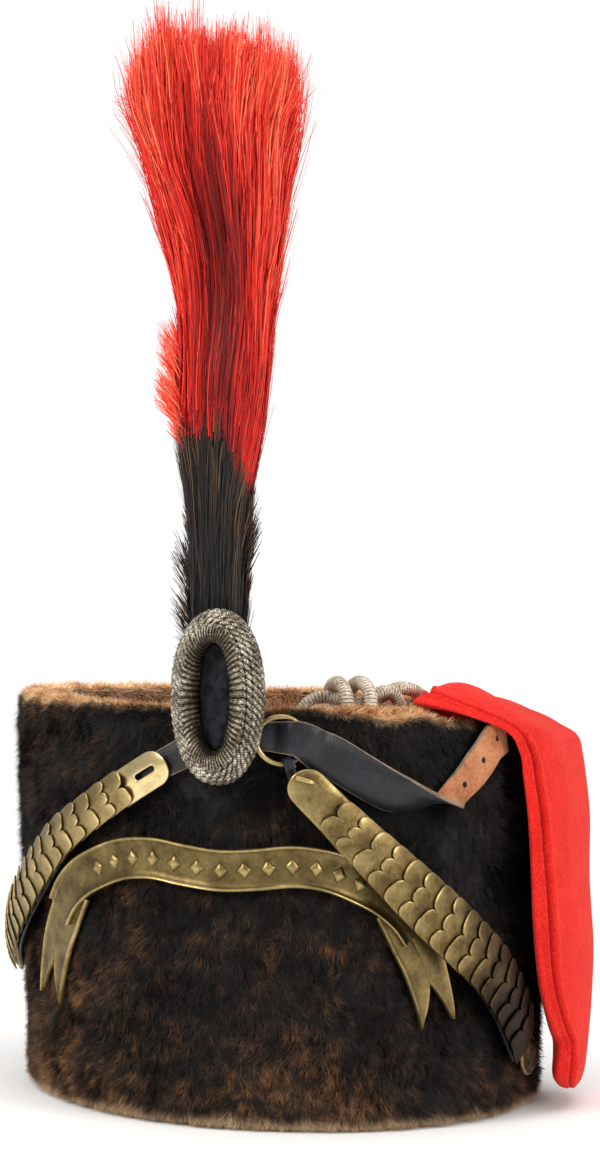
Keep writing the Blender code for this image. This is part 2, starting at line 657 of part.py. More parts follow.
def cut_sockets(body):
    """Blind holes in the front wall for the plume's stem and the badge's prongs."""
    low = HAT_HEIGHT - STEM_DEPTH - GAP
    line = [plume_axis(low), plume_axis(HAT_HEIGHT + CUTTER_OVER)]
    points, faces = loft(tube_rings(line, STEM_RADIUS + GAP, 16))
    combine(body, add_object("stem_hole", points, faces, "dark_fur"), "DIFFERENCE")
    for side in (-1, 1):
        down = prong_line(side, longer=2 * GAP)[-1]
        up = Vector((down.x, down.y, HAT_HEIGHT + CUTTER_OVER))
        points, faces = loft(tube_rings([down, up], PRONG_RADIUS + PRONG_CLEARANCE, 10))
        combine(body, add_object(f"prong_hole_{side + 2}", points, faces, "dark_fur"), "DIFFERENCE")


class Route:
    """A strap's middle line on the cap: place, direction and width at a length from its tip."""

    def __init__(self, rows, reach, widths=None):
        """rows hold shares of reach, along the cap, and of HAT_HEIGHT."""
        line = smooth_line([(arc * reach, height * HAT_HEIGHT) for arc, height in rows], 240)
        steps = np.linalg.norm(np.diff(line, axis=0), axis=1)
        self.line = line
        self.along = np.concatenate([[0], np.cumsum(steps)])
        self.length = float(self.along[-1])
        self.widths = widths

    def place(self, u, v=0.0):
        """(arc, height) at u along the middle line and v to its left."""
        within = min(max(u, 0.0), self.length)
        step = self.length / 200
        here, a, b = (
            np.array([np.interp(w, self.along, self.line[:, k]) for k in (0, 1)])
            for w in (within, within - step, within + step)
        )
        way = (b - a) / np.linalg.norm(b - a)
        there = here + way * (u - within) + np.array([-way[1], way[0]]) * v
        return float(there[0]), float(there[1])

    def width(self, u):
        shares, widths = zip(*self.widths)
        return float(np.interp(u / self.length, shares, widths)) * SCALE_WIDTH


LEFT = Route(LEFT_ROUTE, QUARTER, LEFT_WIDTHS)
RIGHT = Route(RIGHT_ROUTE, QUARTER, RIGHT_WIDTHS)


def strap_lift(route, u):
    """Lift of the strap's underside from the fur."""
    if route is not RIGHT:
        return STRAP_LIFT
    shares, climbs = zip(*RIGHT_CLIMB)
    return STRAP_LIFT + float(np.interp(u / route.length, shares, climbs)) * STRAP_CLIMB


def scale_pitch(route):
    """Distance from scale to scale, so that the last one ends beside the boss at the route's end."""
    room = route.length - BOSS_RADIUS - 2 * GAP - CAP_LENGTH
    return room / (SCALE_COUNT - 1 + SCALE_COVER)


def scale_point(route, u, v, lift):
    """A point of the metal over a strap, arched across its width."""
    share = 2 * v / route.width(u)
    arch = SCALE_ARCH * (1 - min(share * share, 1.0))
    arc, height = route.place(u, v)
    return on_cap(arc, height, strap_lift(route, u) + LEATHER + GAP + lift + arch)


def plate_mesh(route, edge, root, thick, lift, slope, columns):
    """A thin plate from its free edge, a list of (u, v), to its root, tilted so that its free edge stands higher."""
    start = min(u for u, _ in edge)
    front = [(u, v) for u, v in edge]
    back = [(root, v * route.width(root) / route.width(edge[0][0])) for _, v in edge]

    def at(u, v, extra):
        return scale_point(route, u, v, lift - slope * (u - start) + extra)

    rings = [
        [at(*front[k], 0.0) for k in range(columns)],
        [at(*front[k], thick) for k in range(columns)],
        [at(*back[k], thick) for k in range(columns)],
        [at(*back[k], 0.0) for k in range(columns)],
    ]
    points = [p for ring in rings for p in ring]
    faces = []
    for i in range(4):
        a, b = i * columns, (i + 1) % 4 * columns
        for k in range(columns - 1):
            faces.append((a + k, a + k + 1, b + k + 1, b + k))
    for k in (0, columns - 1):
        faces.append(tuple(i * columns + k for i in range(4)))
    return points, faces


def lobed_edge(route, u, lobes, steps):
    """The free edge of a scale: round lobes side by side."""
    half = route.width(u) / 2
    edge = []
    for lobe in range(lobes):
        first = 0 if lobe == 0 else 1
        for k in range(first, steps + 1):
            t = math.pi * k / steps
            v = -half + (lobe + 0.5 - 0.5 * math.cos(t)) * 2 * half / lobes
            edge.append((u + SCALE_LOBE * (1 - math.sin(t) ** 0.8), v))
    return edge


def make_scales(side, route):
    """Overlapping scales, each lying on the next one toward the tip, with two and three lobes in turn."""
    pitch = scale_pitch(route)
    length = pitch * SCALE_COVER
    slope = (SCALE_THICK + GAP) / pitch
    free = max(slope * length + 2 * GAP, CAP_THICK + GAP)
    for number in range(SCALE_COUNT):
        start = CAP_LENGTH + number * pitch
        lobes = 2 + number % 2
        edge = lobed_edge(route, start, lobes, 4 if lobes == 2 else 3)
        points, faces = plate_mesh(route, edge, start + length, SCALE_THICK, free, slope, len(edge))
        add_object(f"scale_{side}_{number + 1:02d}", points, faces, "brass", smooth_angle=30)


def make_end_cap(side, route):
    """The long plate at a strap's tip, with a round end."""
    half = route.width(0) / 2
    edge = []
    for k in range(9):
        t = math.pi * k / 8
        edge.append((half * (1 - math.sin(t)), -half * math.cos(t)))
    points, faces = plate_mesh(route, edge, CAP_LENGTH + CAP_TUCK, CAP_THICK, 0.0, 0.0, 9)
    return add_object(f"end_cap_{side}", points, faces, "brass", smooth_angle=30)


def cut_slot(cap, route):
    """A round-ended slot through the left end cap."""
    half = (SLOT_LENGTH - SLOT_WIDTH) / 2
    outline = []
    for k in range(12):
        t = 2 * math.pi * k / 12
        shift = math.copysign(half, math.cos(t))
        outline.append((SLOT_PLACE + shift + SLOT_WIDTH / 2 * math.cos(t), SLOT_WIDTH / 2 * math.sin(t)))
    depth = SCALE_ARCH + CAP_THICK
    rings = [[scale_point(route, u, v, lift) for u, v in outline] for lift in (-depth, 2 * depth)]
    points, faces = loft(rings)
    combine(cap, add_object("slot_cutter", points, faces, "brass"), "DIFFERENCE")


def add_stud(cap, route):
    """A bent wire stud soldered on the right end cap, which the slot hooks over."""
    line = [scale_point(route, place * SLOT_PLACE, STUD_RADIUS, rise * STUD_RISE) for place, rise in STUD_LINE]
    points, faces = loft(tube_rings(line, STUD_RADIUS, 8))
    combine(cap, add_object("stud_wire", points, faces, "brass"), "UNION")


def make_boss(side, route):
    """A low domed boss over the strap's sewn end."""
    arc, height = route.place(route.length)
    base = strap_lift(route, route.length) + LEATHER + GAP
    rings = []
    for radius, lift in BOSS_SECTION:
        rings.append([
            on_cap(arc + radius * BOSS_RADIUS * math.cos(2 * math.pi * j / 16),
                   height + radius * BOSS_RADIUS * math.sin(2 * math.pi * j / 16), base + lift * BOSS_HEIGHT)
            for j in range(16)
        ])
    points, faces = loft(rings)
    add_object(f"boss_{side}", points, faces, "brass", smooth_angle=60)


def ribbon_ring(arc, height, way, width, thick, lift, turn):
    """The four corners of a strap's section. Its lower edge keeps its lift while it turns about its length."""
    out = on_cap(arc, height, 1.0) - on_cap(arc, height, 0.0)
    ahead = on_cap(arc + way[0] * SHORT_STEP, height + way[1] * SHORT_STEP) - on_cap(arc, height)
    ahead = ahead.normalized()
    left = out.cross(ahead).normalized()
    across = left * math.cos(turn) + out * math.sin(turn)
    face = out * math.cos(turn) - left * math.sin(turn)
    rise = lift + abs(math.sin(turn)) * width / 2 + abs(math.cos(turn)) * thick / 2
    middle = on_cap(arc, height, rise)
    return [middle + across * (a * width / 2) + face * (b * thick / 2)
            for a, b in ((-1, -1), (1, -1), (1, 1), (-1, 1))]


def strap_rings(route, start, end, count):
    """Sections of the leather that backs the scales, a little narrower than they are."""
    rings = []
    for u in np.linspace(start, end, count):
        width = route.width(u) - 2 * STRAP_MARGIN
        ring = []
        for v, high in ((-1, 0), (1, 0), (1, 1), (-1, 1)):
            arc, height = route.place(u, v * width / 2)
            ring.append(on_cap(arc, height, strap_lift(route, u) + high * LEATHER))
        rings.append(ring)
    return rings


def make_strap_left():
    """The long strap: it backs the left scales, runs behind the badge and through the ring, turns over and ends."""
    rings = strap_rings(LEFT, LEFT.length + BOSS_RADIUS * STRAP_UNDER_BOSS, STRAP_START, 26)
    rows = smooth_line([(arc * QUARTER, height * HAT_HEIGHT, lift, turn) for arc, height, lift, turn in FREE_END], 50)
    shares, widths = zip(*FREE_WIDTHS)
    for i in range(2, len(rows)):
        arc, height, lift, turn = rows[i]
        way = rows[min(i + 1, len(rows) - 1), :2] - rows[i - 1, :2]
        width = float(np.interp(i / (len(rows) - 1), shares, widths)) * FREE_STRAP_WIDTH
        ring = ribbon_ring(arc, height, way / np.linalg.norm(way), width, LEATHER,
                           STRAP_LIFT + lift * RING_LIFT, math.radians(turn))
        rings.append([ring[k] for k in (1, 0, 3, 2)])
    points, faces = loft(rings)
    strap = add_object("strap_left", points, faces, "dark_leather")
    for number, (arc, height) in enumerate(STRAP_HOLES, 1):
        rings = [
            [on_cap(arc * QUARTER + HOLE_RADIUS * math.cos(2 * math.pi * j / 8),
                    height * HAT_HEIGHT + HOLE_RADIUS * math.sin(2 * math.pi * j / 8), lift) for j in range(8)]
            for lift in (-STRAP_LIFT, 4 * LEATHER)
        ]
        points, faces = loft(rings)
        combine(strap, add_object(f"hole_cutter_{number}", points, faces, "dark_leather"), "DIFFERENCE")


def make_strap_right():
    """The strap that backs the right scales. A narrow tab at its tip goes round the ring's wire and back."""
    rings = strap_rings(RIGHT, RIGHT.length + BOSS_RADIUS * STRAP_UNDER_BOSS, TAB_START - TAB_THICK, 26)
    points, faces = loft(rings)
    strap = add_object("strap_right", points, faces, "dark_leather")
    root = np.array(RIGHT.place(TAB_START, TAB_ASIDE))
    ring_middle = np.array([RING_ARC * QUARTER, RING_HEIGHT * HAT_HEIGHT])
    distance = float(np.linalg.norm(ring_middle - root))
    way = (ring_middle - root) / distance
    reach = distance - RING_RADIUS + GAP / 2
    centre = RING_LIFT + RING_TILT * way[0] * RING_RADIUS
    bend = RING_WIRE + 2 * GAP + TAB_THICK / 2
    line = [(0.0, strap_lift(RIGHT, TAB_START) + LEATHER / 2), (reach - 2 * bend, centre - bend)]
    line += [(reach + bend * math.sin(t), centre - bend * math.cos(t)) for t in np.linspace(0, math.pi, 7)]
    line.append((reach - bend, centre + bend))
    rings = []
    for i, (far, lift) in enumerate(line):
        a, b = line[max(i - 1, 0)], line[min(i + 1, len(line) - 1)]
        step = Vector((b[0] - a[0], b[1] - a[1])).normalized()
        ring = []
        for side, face in ((-1, -1), (1, -1), (1, 1), (-1, 1)):
            f = far - step.y * face * TAB_THICK / 2
            arc = root[0] + way[0] * f - way[1] * side * TAB_WIDTH / 2
            height = root[1] + way[1] * f + way[0] * side * TAB_WIDTH / 2
            ring.append(on_cap(arc, height, lift + step.x * face * TAB_THICK / 2))
        rings.append(ring)
    points, faces = loft(rings)
    combine(strap, add_object("ring_tab", points, faces, "dark_leather"), "UNION")


def make_ring():
    """The brass ring, tilted so that the strap goes under its inner side and over its outer side."""
    line = []
    for j in range(24):
        t = 2 * math.pi * j / 24
        across = RING_RADIUS * math.cos(t)
        height = RING_HEIGHT * HAT_HEIGHT + RING_RADIUS * math.sin(t)
        line.append(on_cap(RING_ARC * QUARTER + across, height, RING_LIFT - RING_TILT * across))
    points, faces = loft(tube_rings(line, RING_WIRE, 6, closed=True), closed=True)
    add_object("strap_ring", points, faces, "brass", smooth_angle=60)


def make_scroll_plate():
    """The brass scroll: a band with raised edges, folded ends, swallow tails and a row of plain lozenges."""
    half = SCROLL_WIDTH / 2
    rows = [(-arc, height) for arc, height in SCROLL_ROUTE[:0:-1]] + SCROLL_ROUTE
    band = Route(rows, SCROLL_HALF_LENGTH)
    rings = []
    for u in np.linspace(0, band.length, 28):
        ring = []
        for v, thick, bead in SCROLL_SECTION:
            arc, height = band.place(u, v * half)
            ring.append(on_cap(arc, height, SCROLL_LIFT + thick * SCROLL_THICK + bead * SCROLL_BEAD))
        rings.append(ring)
    points, faces = loft(rings)
    plate = add_object("scroll_plate", points, faces, "brass")
    for side in (-1, 1):
        combine(plate, make_tail(side), "UNION")
    for number in range(ORNAMENT_COUNT):
        u = band.length / 2 + (number - (ORNAMENT_COUNT - 1) / 2) * ORNAMENT_PITCH
        rings = []
        for size, lift in ((1.0, -SCROLL_THICK / 2), (0.35, ORNAMENT_RISE)):
            ring = []
            for a, b in ((1.0, 0), (0, 1.15), (-1.0, 0), (0, -1.15)):
                arc, height = band.place(u + a * size * ORNAMENT_SIZE, b * size * ORNAMENT_SIZE)
                ring.append(on_cap(arc, height, SCROLL_LIFT + SCROLL_THICK + lift))
            rings.append(ring)
        points, faces = loft(rings)
        combine(plate, add_object(f"lozenge_{number + 1:02d}", points, faces, "brass"), "UNION")


def make_tail(side):
    """A swallow tail that comes out from under the folded end of the scroll."""
    tail = Route([(side * arc, height) for arc, height in TAIL_ROUTE], SCROLL_HALF_LENGTH)
    notch = tail.length - TAIL_NOTCH
    tip = tail.length
    curl = tip - TAIL_NOTCH / 4
    outline = [(0.0, -0.8), (tip * 0.3, -0.95), (notch, -1.0), (tip, -0.92), (curl, -0.62), (notch, 0.0),
               (curl, 0.62), (tip, 0.92), (notch, 1.0), (tip * 0.3, 0.95), (0.0, 0.8)]
    rings = [[on_cap(*tail.place(u, v * TAIL_HALF_WIDTH), lift) for u, v in outline]
             for lift in (TAIL_LIFT, TAIL_LIFT + SCROLL_THICK)]
    points, faces = loft(rings)
    return add_object(f"tail_{'left' if side < 0 else 'right'}", points, faces, "brass")


def stand_on_origin():
    """Moves all of it, so that the origin is under the middle of the whole outline."""
    bpy.context.view_layer.update()
    graph = bpy.context.evaluated_depsgraph_get()
    corners = []
    for item in bpy.context.scene.collection.objects:
        if not item.hide_render:
            corners += [tuple(corner) for corner in item.evaluated_get(graph).bound_box]
    corners = np.array(corners)
    middle = (corners.min(axis=0) + corners.max(axis=0)) / 2
    for item in bpy.context.scene.collection.objects:
        item.location = (-middle[0], -middle[1], 0)


def main():
    for old in list(bpy.data.objects):
        bpy.data.objects.remove(old, do_unlink=True)
    body = make_fur_body()
    cut_sockets(body)
    make_crown_cloth()
    make_bag()
    make_cap_cord()
    make_badge()
    make_plume()
    make_scroll_plate()
    for side, route in (("left", LEFT), ("right", RIGHT)):
        make_scales(side, route)
        make_boss(side, route)
    cut_slot(make_end_cap("left", LEFT), LEFT)
    add_stud(make_end_cap("right", RIGHT), RIGHT)
    make_strap_left()
    make_strap_right()
    make_ring()
    stand_on_origin()


main()
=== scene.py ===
import math

import bmesh
import bpy
import numpy as np
from mathutils import Matrix, Vector


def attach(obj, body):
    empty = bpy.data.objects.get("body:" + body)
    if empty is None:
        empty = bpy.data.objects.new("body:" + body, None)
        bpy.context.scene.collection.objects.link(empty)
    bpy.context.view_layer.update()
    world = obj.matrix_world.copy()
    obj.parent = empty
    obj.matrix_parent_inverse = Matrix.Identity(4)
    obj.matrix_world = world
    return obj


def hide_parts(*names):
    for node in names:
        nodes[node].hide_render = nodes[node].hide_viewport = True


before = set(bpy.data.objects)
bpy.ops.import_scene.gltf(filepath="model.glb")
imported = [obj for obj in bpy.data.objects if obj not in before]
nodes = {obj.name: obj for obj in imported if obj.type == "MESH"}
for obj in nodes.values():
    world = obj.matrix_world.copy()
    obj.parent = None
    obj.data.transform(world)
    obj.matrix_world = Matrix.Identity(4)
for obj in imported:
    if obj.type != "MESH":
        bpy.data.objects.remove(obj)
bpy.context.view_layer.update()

# Lengths are in metres
MM = 0.001
GAP = 0.0003

# The cap's own sizes, as in the CAD source
HAT_HEIGHT = 0.140
BASE_HALF_WIDTH = 0.0925
BASE_HALF_DEPTH = 0.1112
RIM_HALF_WIDTH = 0.0974
RIM_HALF_DEPTH = 0.1169
RIM_SKEW = -0.006
WALL = 0.013
HEM_ROUND = 0.005
RIM_DIP = 0.007
DIP_SPREAD = math.radians(58)
CROWN_EDGE = 0.1255
CROWN_RISE = 0.006
CROWN_FLAT = 0.5

# The camera, from the photograph's perspective
VIEW_AZIMUTH = math.radians(10.5)
VIEW_DISTANCE = 1.150
EYE_HEIGHT = 0.184
VIEW_ROLL = math.radians(2.5)
PICTURE_WIDTH = 600
PICTURE_HEIGHT = 1154
FOCAL_PIXELS = 3150
AXIS_PIXEL = 308.5
SENSOR_HEIGHT = 24


def cap_axis():
    """Where the axis of the cap's lower edge stands."""
    low = [v.co for v in nodes["fur_body"].data.vertices if v.co.z < MM]
    return np.array([(min(p.x for p in low) + max(p.x for p in low)) / 2,
                     (min(p.y for p in low) + max(p.y for p in low)) / 2, 0.0])


AXIS = cap_axis()


def make_camera():
    """The photograph's view: level, a little to the bag's side of the front, with the picture turned."""
    forward = Vector((-math.sin(VIEW_AZIMUTH), math.cos(VIEW_AZIMUTH), 0))
    right = Vector((math.cos(VIEW_AZIMUTH), math.sin(VIEW_AZIMUTH), 0))
    up = Vector((0, 0, 1))
    turned_right = right * math.cos(VIEW_ROLL) + up * math.sin(VIEW_ROLL)
    turned_up = up * math.cos(VIEW_ROLL) - right * math.sin(VIEW_ROLL)
    place = Vector(AXIS) - forward * VIEW_DISTANCE + up * EYE_HEIGHT
    lens = bpy.data.cameras.new("photo_camera")
    lens.sensor_fit = "VERTICAL"
    lens.sensor_height = SENSOR_HEIGHT
    lens.lens = SENSOR_HEIGHT * FOCAL_PIXELS / PICTURE_HEIGHT
    lens.shift_x = (PICTURE_WIDTH / 2 - AXIS_PIXEL) / PICTURE_HEIGHT
    camera = bpy.data.objects.new("photo_camera", lens)
    facing = Matrix((turned_right, turned_up, -forward)).transposed().to_4x4()
    camera.matrix_world = Matrix.Translation(place) @ facing
    bpy.context.scene.collection.objects.link(camera)
    bpy.context.scene.camera = camera


make_camera()


# Places on the cap: arc is the length round the fur from the front, height is above the lower edge, and lift
# is out from the fur. Each is a number or an array.

ARC_TABLE_POINTS = 2881
CURVE_POINTS = 24


def half_depth(height):
    """Half of the cap's length from front to back."""
    return BASE_HALF_DEPTH + (RIM_HALF_DEPTH - BASE_HALF_DEPTH) * height / HAT_HEIGHT


def half_width(height):
    """Half of its width from side to side."""
    return BASE_HALF_WIDTH + (RIM_HALF_WIDTH - BASE_HALF_WIDTH) * height / HAT_HEIGHT


def arc_table():
    """Arc lengths round the middle of the cap's height, and the ellipse angle at each."""
    angles = np.linspace(-math.pi, math.pi, ARC_TABLE_POINTS)
    speed = np.hypot(half_width(HAT_HEIGHT / 2) * np.cos(angles), half_depth(HAT_HEIGHT / 2) * np.sin(angles))
    arcs = np.concatenate([[0], np.cumsum((speed[1:] + speed[:-1]) / 2 * np.diff(angles))])
    return arcs - arcs[len(arcs) // 2], angles


ARCS, ANGLES = arc_table()
QUARTER = float(np.interp(math.pi / 2, ANGLES, ARCS))


def at_angle(angle, height, lift=0.0):
    """Points on the cap's outer form at an ellipse angle, moved out by lift."""
    angle, height, lift = np.broadcast_arrays(np.asarray(angle, float), height, lift)
    wide, deep = half_width(height), half_depth(height)
    out_x, out_y = np.sin(angle) / wide, -np.cos(angle) / deep
    size = np.hypot(out_x, out_y)
    x = wide * np.sin(angle) + RIM_SKEW * height / HAT_HEIGHT + out_x / size * lift
    y = -deep * np.cos(angle) + out_y / size * lift
    return np.stack([x, y, height], axis=-1) + AXIS


def on_cap(arc, height, lift=0.0):
    """Points on the cap's outer form at a length round it, moved out by lift."""
    return at_angle(np.interp(arc, ARCS, ANGLES), height, lift)


def cap_place(points):
    """The reverse: arc, height and lift of points near the cap's wall."""
    p = points - AXIS
    height = p[:, 2]
    wide, deep = half_width(height), half_depth(height)
    angle = np.arctan2((p[:, 0] - RIM_SKEW * height / HAT_HEIGHT) / wide, -p[:, 1] / deep)
    # Three steps settle the angle to a thousandth of a millimetre
    for _ in range(3):
        away = points - at_angle(angle, height)
        along = np.stack([wide * np.cos(angle), deep * np.sin(angle)], axis=-1)
        speed = np.linalg.norm(along, axis=1)
        angle = angle + (away[:, 0] * along[:, 0] + away[:, 1] * along[:, 1]) / speed**2
    out = at_angle(angle, height, 1.0) - at_angle(angle, height)
    lift = ((points - at_angle(angle, height)) * out).sum(axis=1)
    return np.interp(angle, ANGLES, ARCS), height, lift


def rim_height(angle):
    """Height of the fur rim, which the bag weighs down on its side."""
    away = np.abs(np.asarray(angle) - math.pi / 2)
    sunk = np.where(away < DIP_SPREAD, np.cos(np.minimum(away / DIP_SPREAD, 1) * math.pi / 2) ** 2, 0.0)
    return HAT_HEIGHT - RIM_DIP * sunk


def circle(count):
    """The angles of evenly spaced points round a circle."""
    return 2 * math.pi * np.arange(count) / count


def lengths_along(line):
    """The length along a line to each of its points."""
    return np.concatenate([[0], np.cumsum(np.linalg.norm(np.diff(line, axis=0), axis=1))])


def smooth_line(rows, count):
    """Evenly spaced points of the smooth curve through rows of numbers."""
    knots = np.array(rows, float)
    padded = np.vstack([2 * knots[0] - knots[1], knots, 2 * knots[-1] - knots[-2]])
    fine = []
    for i in range(len(knots) - 1):
        p0, p1, p2, p3 = padded[i : i + 4]
        t = np.linspace(0, 1, CURVE_POINTS, endpoint=False)[:, None]
        fine.append(0.5 * (2 * p1 + (p2 - p0) * t + (2 * p0 - 5 * p1 + 4 * p2 - p3) * t**2
                           + (3 * p1 - p0 - 3 * p2 + p3) * t**3))
    fine = np.vstack(fine + [knots[-1:]])
    along = lengths_along(fine[:, :2])
    wanted = np.linspace(0, along[-1], count)
    return np.stack([np.interp(wanted, along, fine[:, k]) for k in range(fine.shape[1])], axis=1)


def table_value(rows, share):
    """The value at a share in a table of (share, value)."""
    shares, values = zip(*rows)
    return np.interp(share, shares, values)


# Materials


def linear(text):
    """The linear RGBA of an sRGB hex colour."""
    parts = [int(text[i : i + 2], 16) / 255 for i in (1, 3, 5)]
    return [c / 12.92 if c <= 0.04045 else ((c + 0.055) / 1.055) ** 2.4 for c in parts] + [1.0]


# What nodes are set to. A mix is one pattern times a share, plus another pattern.
MIX = {"operation": "MULTIPLY_ADD"}
DIVIDE = {"operation": "DIVIDE"}
STRAND = {"attribute_name": "strand"}
# A wave texture of scale 1 repeats after this many metres
WAVE_LENGTH = 0.314


def add(tree, kind, settings=None, stops=None, **inputs):
    """Adds a shader node. Its inputs, named as the socket or in0, in1 and so on, hold a value or a socket."""
    made = tree.nodes.new("ShaderNode" + kind)
    for key, value in (settings or {}).items():
        setattr(made, key, value)
    for i, (place, colour) in enumerate(stops or []):
        ramp = made.color_ramp
        stop = ramp.elements[i] if i < 2 else ramp.elements.new(place)
        stop.position = place
        stop.color = linear(colour) if isinstance(colour, str) else [colour] * 3 + [1.0]
    for key, value in inputs.items():
        named = key[2:].isdigit() and key[:2] == "in"
        socket = made.inputs[int(key[2:])] if named else made.inputs[key.replace("_", " ")]
        if isinstance(value, bpy.types.NodeSocket):
            tree.links.new(value, socket)
        else:
            socket.default_value = value
    return made


def finish(name, **values):
    """A material, its tree, and its surface shader with these values."""
    made = bpy.data.materials.new(name)
    made.use_nodes = True
    shader = made.node_tree.nodes["Principled BSDF"]
    for key, value in values.items():
        shader.inputs[key.replace("_", " ")].default_value = value
    return made, made.node_tree, shader


def plug(tree, shader, **sockets):
    """Links patterns to the shader's sockets."""
    for key, socket in sockets.items():
        tree.links.new(socket, shader.inputs[key.replace("_", " ")])


def fur_finish():
    """Clipped dyed fur: dark with brown patches, and its dye worn to ginger along the rim and the hem."""
    made, tree, shader = finish("clipped_dyed_fur", Roughness=0.7, Specular_IOR_Level=0.25)
    place = add(tree, "TexCoord").outputs["Object"]
    strand = add(tree, "Attribute", STRAND).outputs["Vector"]
    parts = add(tree, "SeparateXYZ", Vector=strand)
    # Patches 34 mm across where the dye has faded, broken up by 6.5 mm tufts, and each hair's shade and tip
    patch = add(tree, "TexNoise", Vector=place, Scale=1 / 0.034, Detail=3.0, Roughness=0.62).outputs["Fac"]
    tuft = add(tree, "TexNoise", Vector=place, Scale=1 / 0.0065, Detail=3.0, Roughness=0.65).outputs["Fac"]
    mixed = add(tree, "Math", MIX, in0=tuft, in1=0.8, in2=patch).outputs[0]
    toned = add(tree, "Math", MIX, in0=parts.outputs["X"], in1=0.40, in2=mixed).outputs[0]
    tipped = add(tree, "Math", MIX, in0=parts.outputs["Y"], in1=0.10, in2=toned).outputs[0]
    scaled = add(tree, "Math", DIVIDE, in0=tipped, in1=1.84).outputs[0]
    dyed = [(0.50, "#0D0C0D"), (0.63, "#191616"), (0.70, "#2D231C"), (0.78, "#553B27"), (0.88, "#8A6443")]
    ginger = [(0.38, "#99663E"), (0.52, "#DBA06A"), (0.68, "#FFDDB0")]
    body = add(tree, "ValToRGB", stops=dyed, Fac=scaled)
    worn = add(tree, "ValToRGB", stops=ginger, Fac=scaled)
    colour = add(tree, "Mix", {"data_type": "RGBA"}, in0=parts.outputs["Z"], in6=body.outputs["Color"],
                 in7=worn.outputs["Color"])
    plug(tree, shader, Base_Color=colour.outputs[2])
    return made


def hair_finish(name, stops, roughness, shine):
    """Dyed horsehair: glossy along its length, each hair its own shade."""
    made, tree, shader = finish(name, Roughness=roughness, Specular_IOR_Level=shine)
    strand = add(tree, "Attribute", STRAND).outputs["Vector"]
    parts = add(tree, "SeparateXYZ", Vector=strand)
    # Shade of the hair: painted lighter towards its tip and the plume's top, where the light falls, with a
    # random tone for each lock
    shade = add(tree, "Math", MIX, in0=parts.outputs["Y"], in1=0.68, in2=parts.outputs["X"]).outputs[0]
    shade = add(tree, "Math", MIX, in0=parts.outputs["Z"], in1=0.45, in2=shade).outputs[0]
    scaled = add(tree, "Math", DIVIDE, in0=shade, in1=1.8).outputs[0]
    plug(tree, shader, Base_Color=add(tree, "ValToRGB", stops=stops, Fac=scaled).outputs["Color"])
    return made


def broadcloth_finish():
    """Fulled wool cloth: matt, with a felted nap that hides the weave and a soft bloom at grazing angles."""
    made, tree, shader = finish("fulled_red_broadcloth", Roughness=0.95, Sheen_Weight=0.35,
                                Sheen_Roughness=0.45, Sheen_Tint=linear("#FF7A6A"), Specular_IOR_Level=0.2)
    place = add(tree, "TexCoord").outputs["Object"]
    # Nap of about 0.5 mm, drawn at 0.9 mm so that it shows, over 9 mm clouds of wear
    nap = add(tree, "TexNoise", Vector=place, Scale=1 / 0.0009, Detail=4.0, Roughness=0.7).outputs["Fac"]
    cloud = add(tree, "TexNoise", Vector=place, Scale=1 / 0.009, Detail=3.0, Roughness=0.55).outputs["Fac"]
    mixed = add(tree, "Math", MIX, in0=cloud, in1=0.35, in2=nap).outputs[0]
    # The bottom of a seam is painted darker, as shade in its groove
    seam_shade = add(tree, "SeparateXYZ", Vector=add(tree, "Attribute", STRAND).outputs["Vector"])
    mixed = add(tree, "Math", MIX, in0=seam_shade.outputs["Z"], in1=-0.55, in2=mixed).outputs[0]
    scaled = add(tree, "Math", DIVIDE, in0=mixed, in1=1.35).outputs[0]
    reds = [(0.12, "#5A0807"), (0.34, "#B81411"), (0.50, "#D2201A"), (0.68, "#E6382E")]
    colour = add(tree, "ValToRGB", stops=reds, Fac=scaled)
    bump = add(tree, "Bump", Strength=0.5, Distance=0.0005, Height=nap)
    plug(tree, shader, Base_Color=colour.outputs["Color"], Normal=bump.outputs["Normal"])
    return made


def wire_finish(name, stops, metallic):
    """Cord wound with fine flattened wire: ridges across it, painted dark in the grooves as shade, and
    glinting on top.
    """
    made, tree, shader = finish(name, Metallic=metallic, Roughness=0.36)
    wound = add(tree, "Attribute", STRAND).outputs["Vector"]
    place = add(tree, "TexCoord").outputs["Object"]
    # The winding's pitch is drawn at 0.5 mm, over twice the wire's 0.2 mm, so that it shows
    bands = {"wave_type": "BANDS", "bands_direction": "X", "wave_profile": "SIN"}
    turns = add(tree, "TexWave", bands, Vector=wound, Scale=WAVE_LENGTH / 0.0005, Distortion=1.2, Detail=1.0,
                Detail_Scale=2.0)
    # Glints of 0.9 mm, and tarnish in 7 mm clouds
    glint = add(tree, "TexNoise", Vector=place, Scale=1 / 0.0009, Detail=2.0, Roughness=0.7).outputs["Fac"]
    tarnish = add(tree, "TexNoise", Vector=place, Scale=1 / 0.007, Detail=3.0).outputs["Fac"]
    mixed = add(tree, "Math", MIX, in0=turns.outputs["Fac"], in1=0.22, in2=glint).outputs[0]
    mixed = add(tree, "Math", MIX, in0=tarnish, in1=0.7, in2=mixed).outputs[0]
    # Raised parts are painted lighter and the grooves darker, as light and shade on the winding
    raised = add(tree, "SeparateXYZ", Vector=wound).outputs["Z"]
    mixed = add(tree, "Math", MIX, in0=raised, in1=0.45, in2=mixed).outputs[0]
    scaled = add(tree, "Math", DIVIDE, in0=mixed, in1=2.0).outputs[0]
    colour = add(tree, "ValToRGB", stops=stops, Fac=scaled)
    bump = add(tree, "Bump", Strength=0.7, Distance=0.00025, Height=turns.outputs["Fac"])
    plug(tree, shader, Base_Color=colour.outputs["Color"], Normal=bump.outputs["Normal"])
    return made


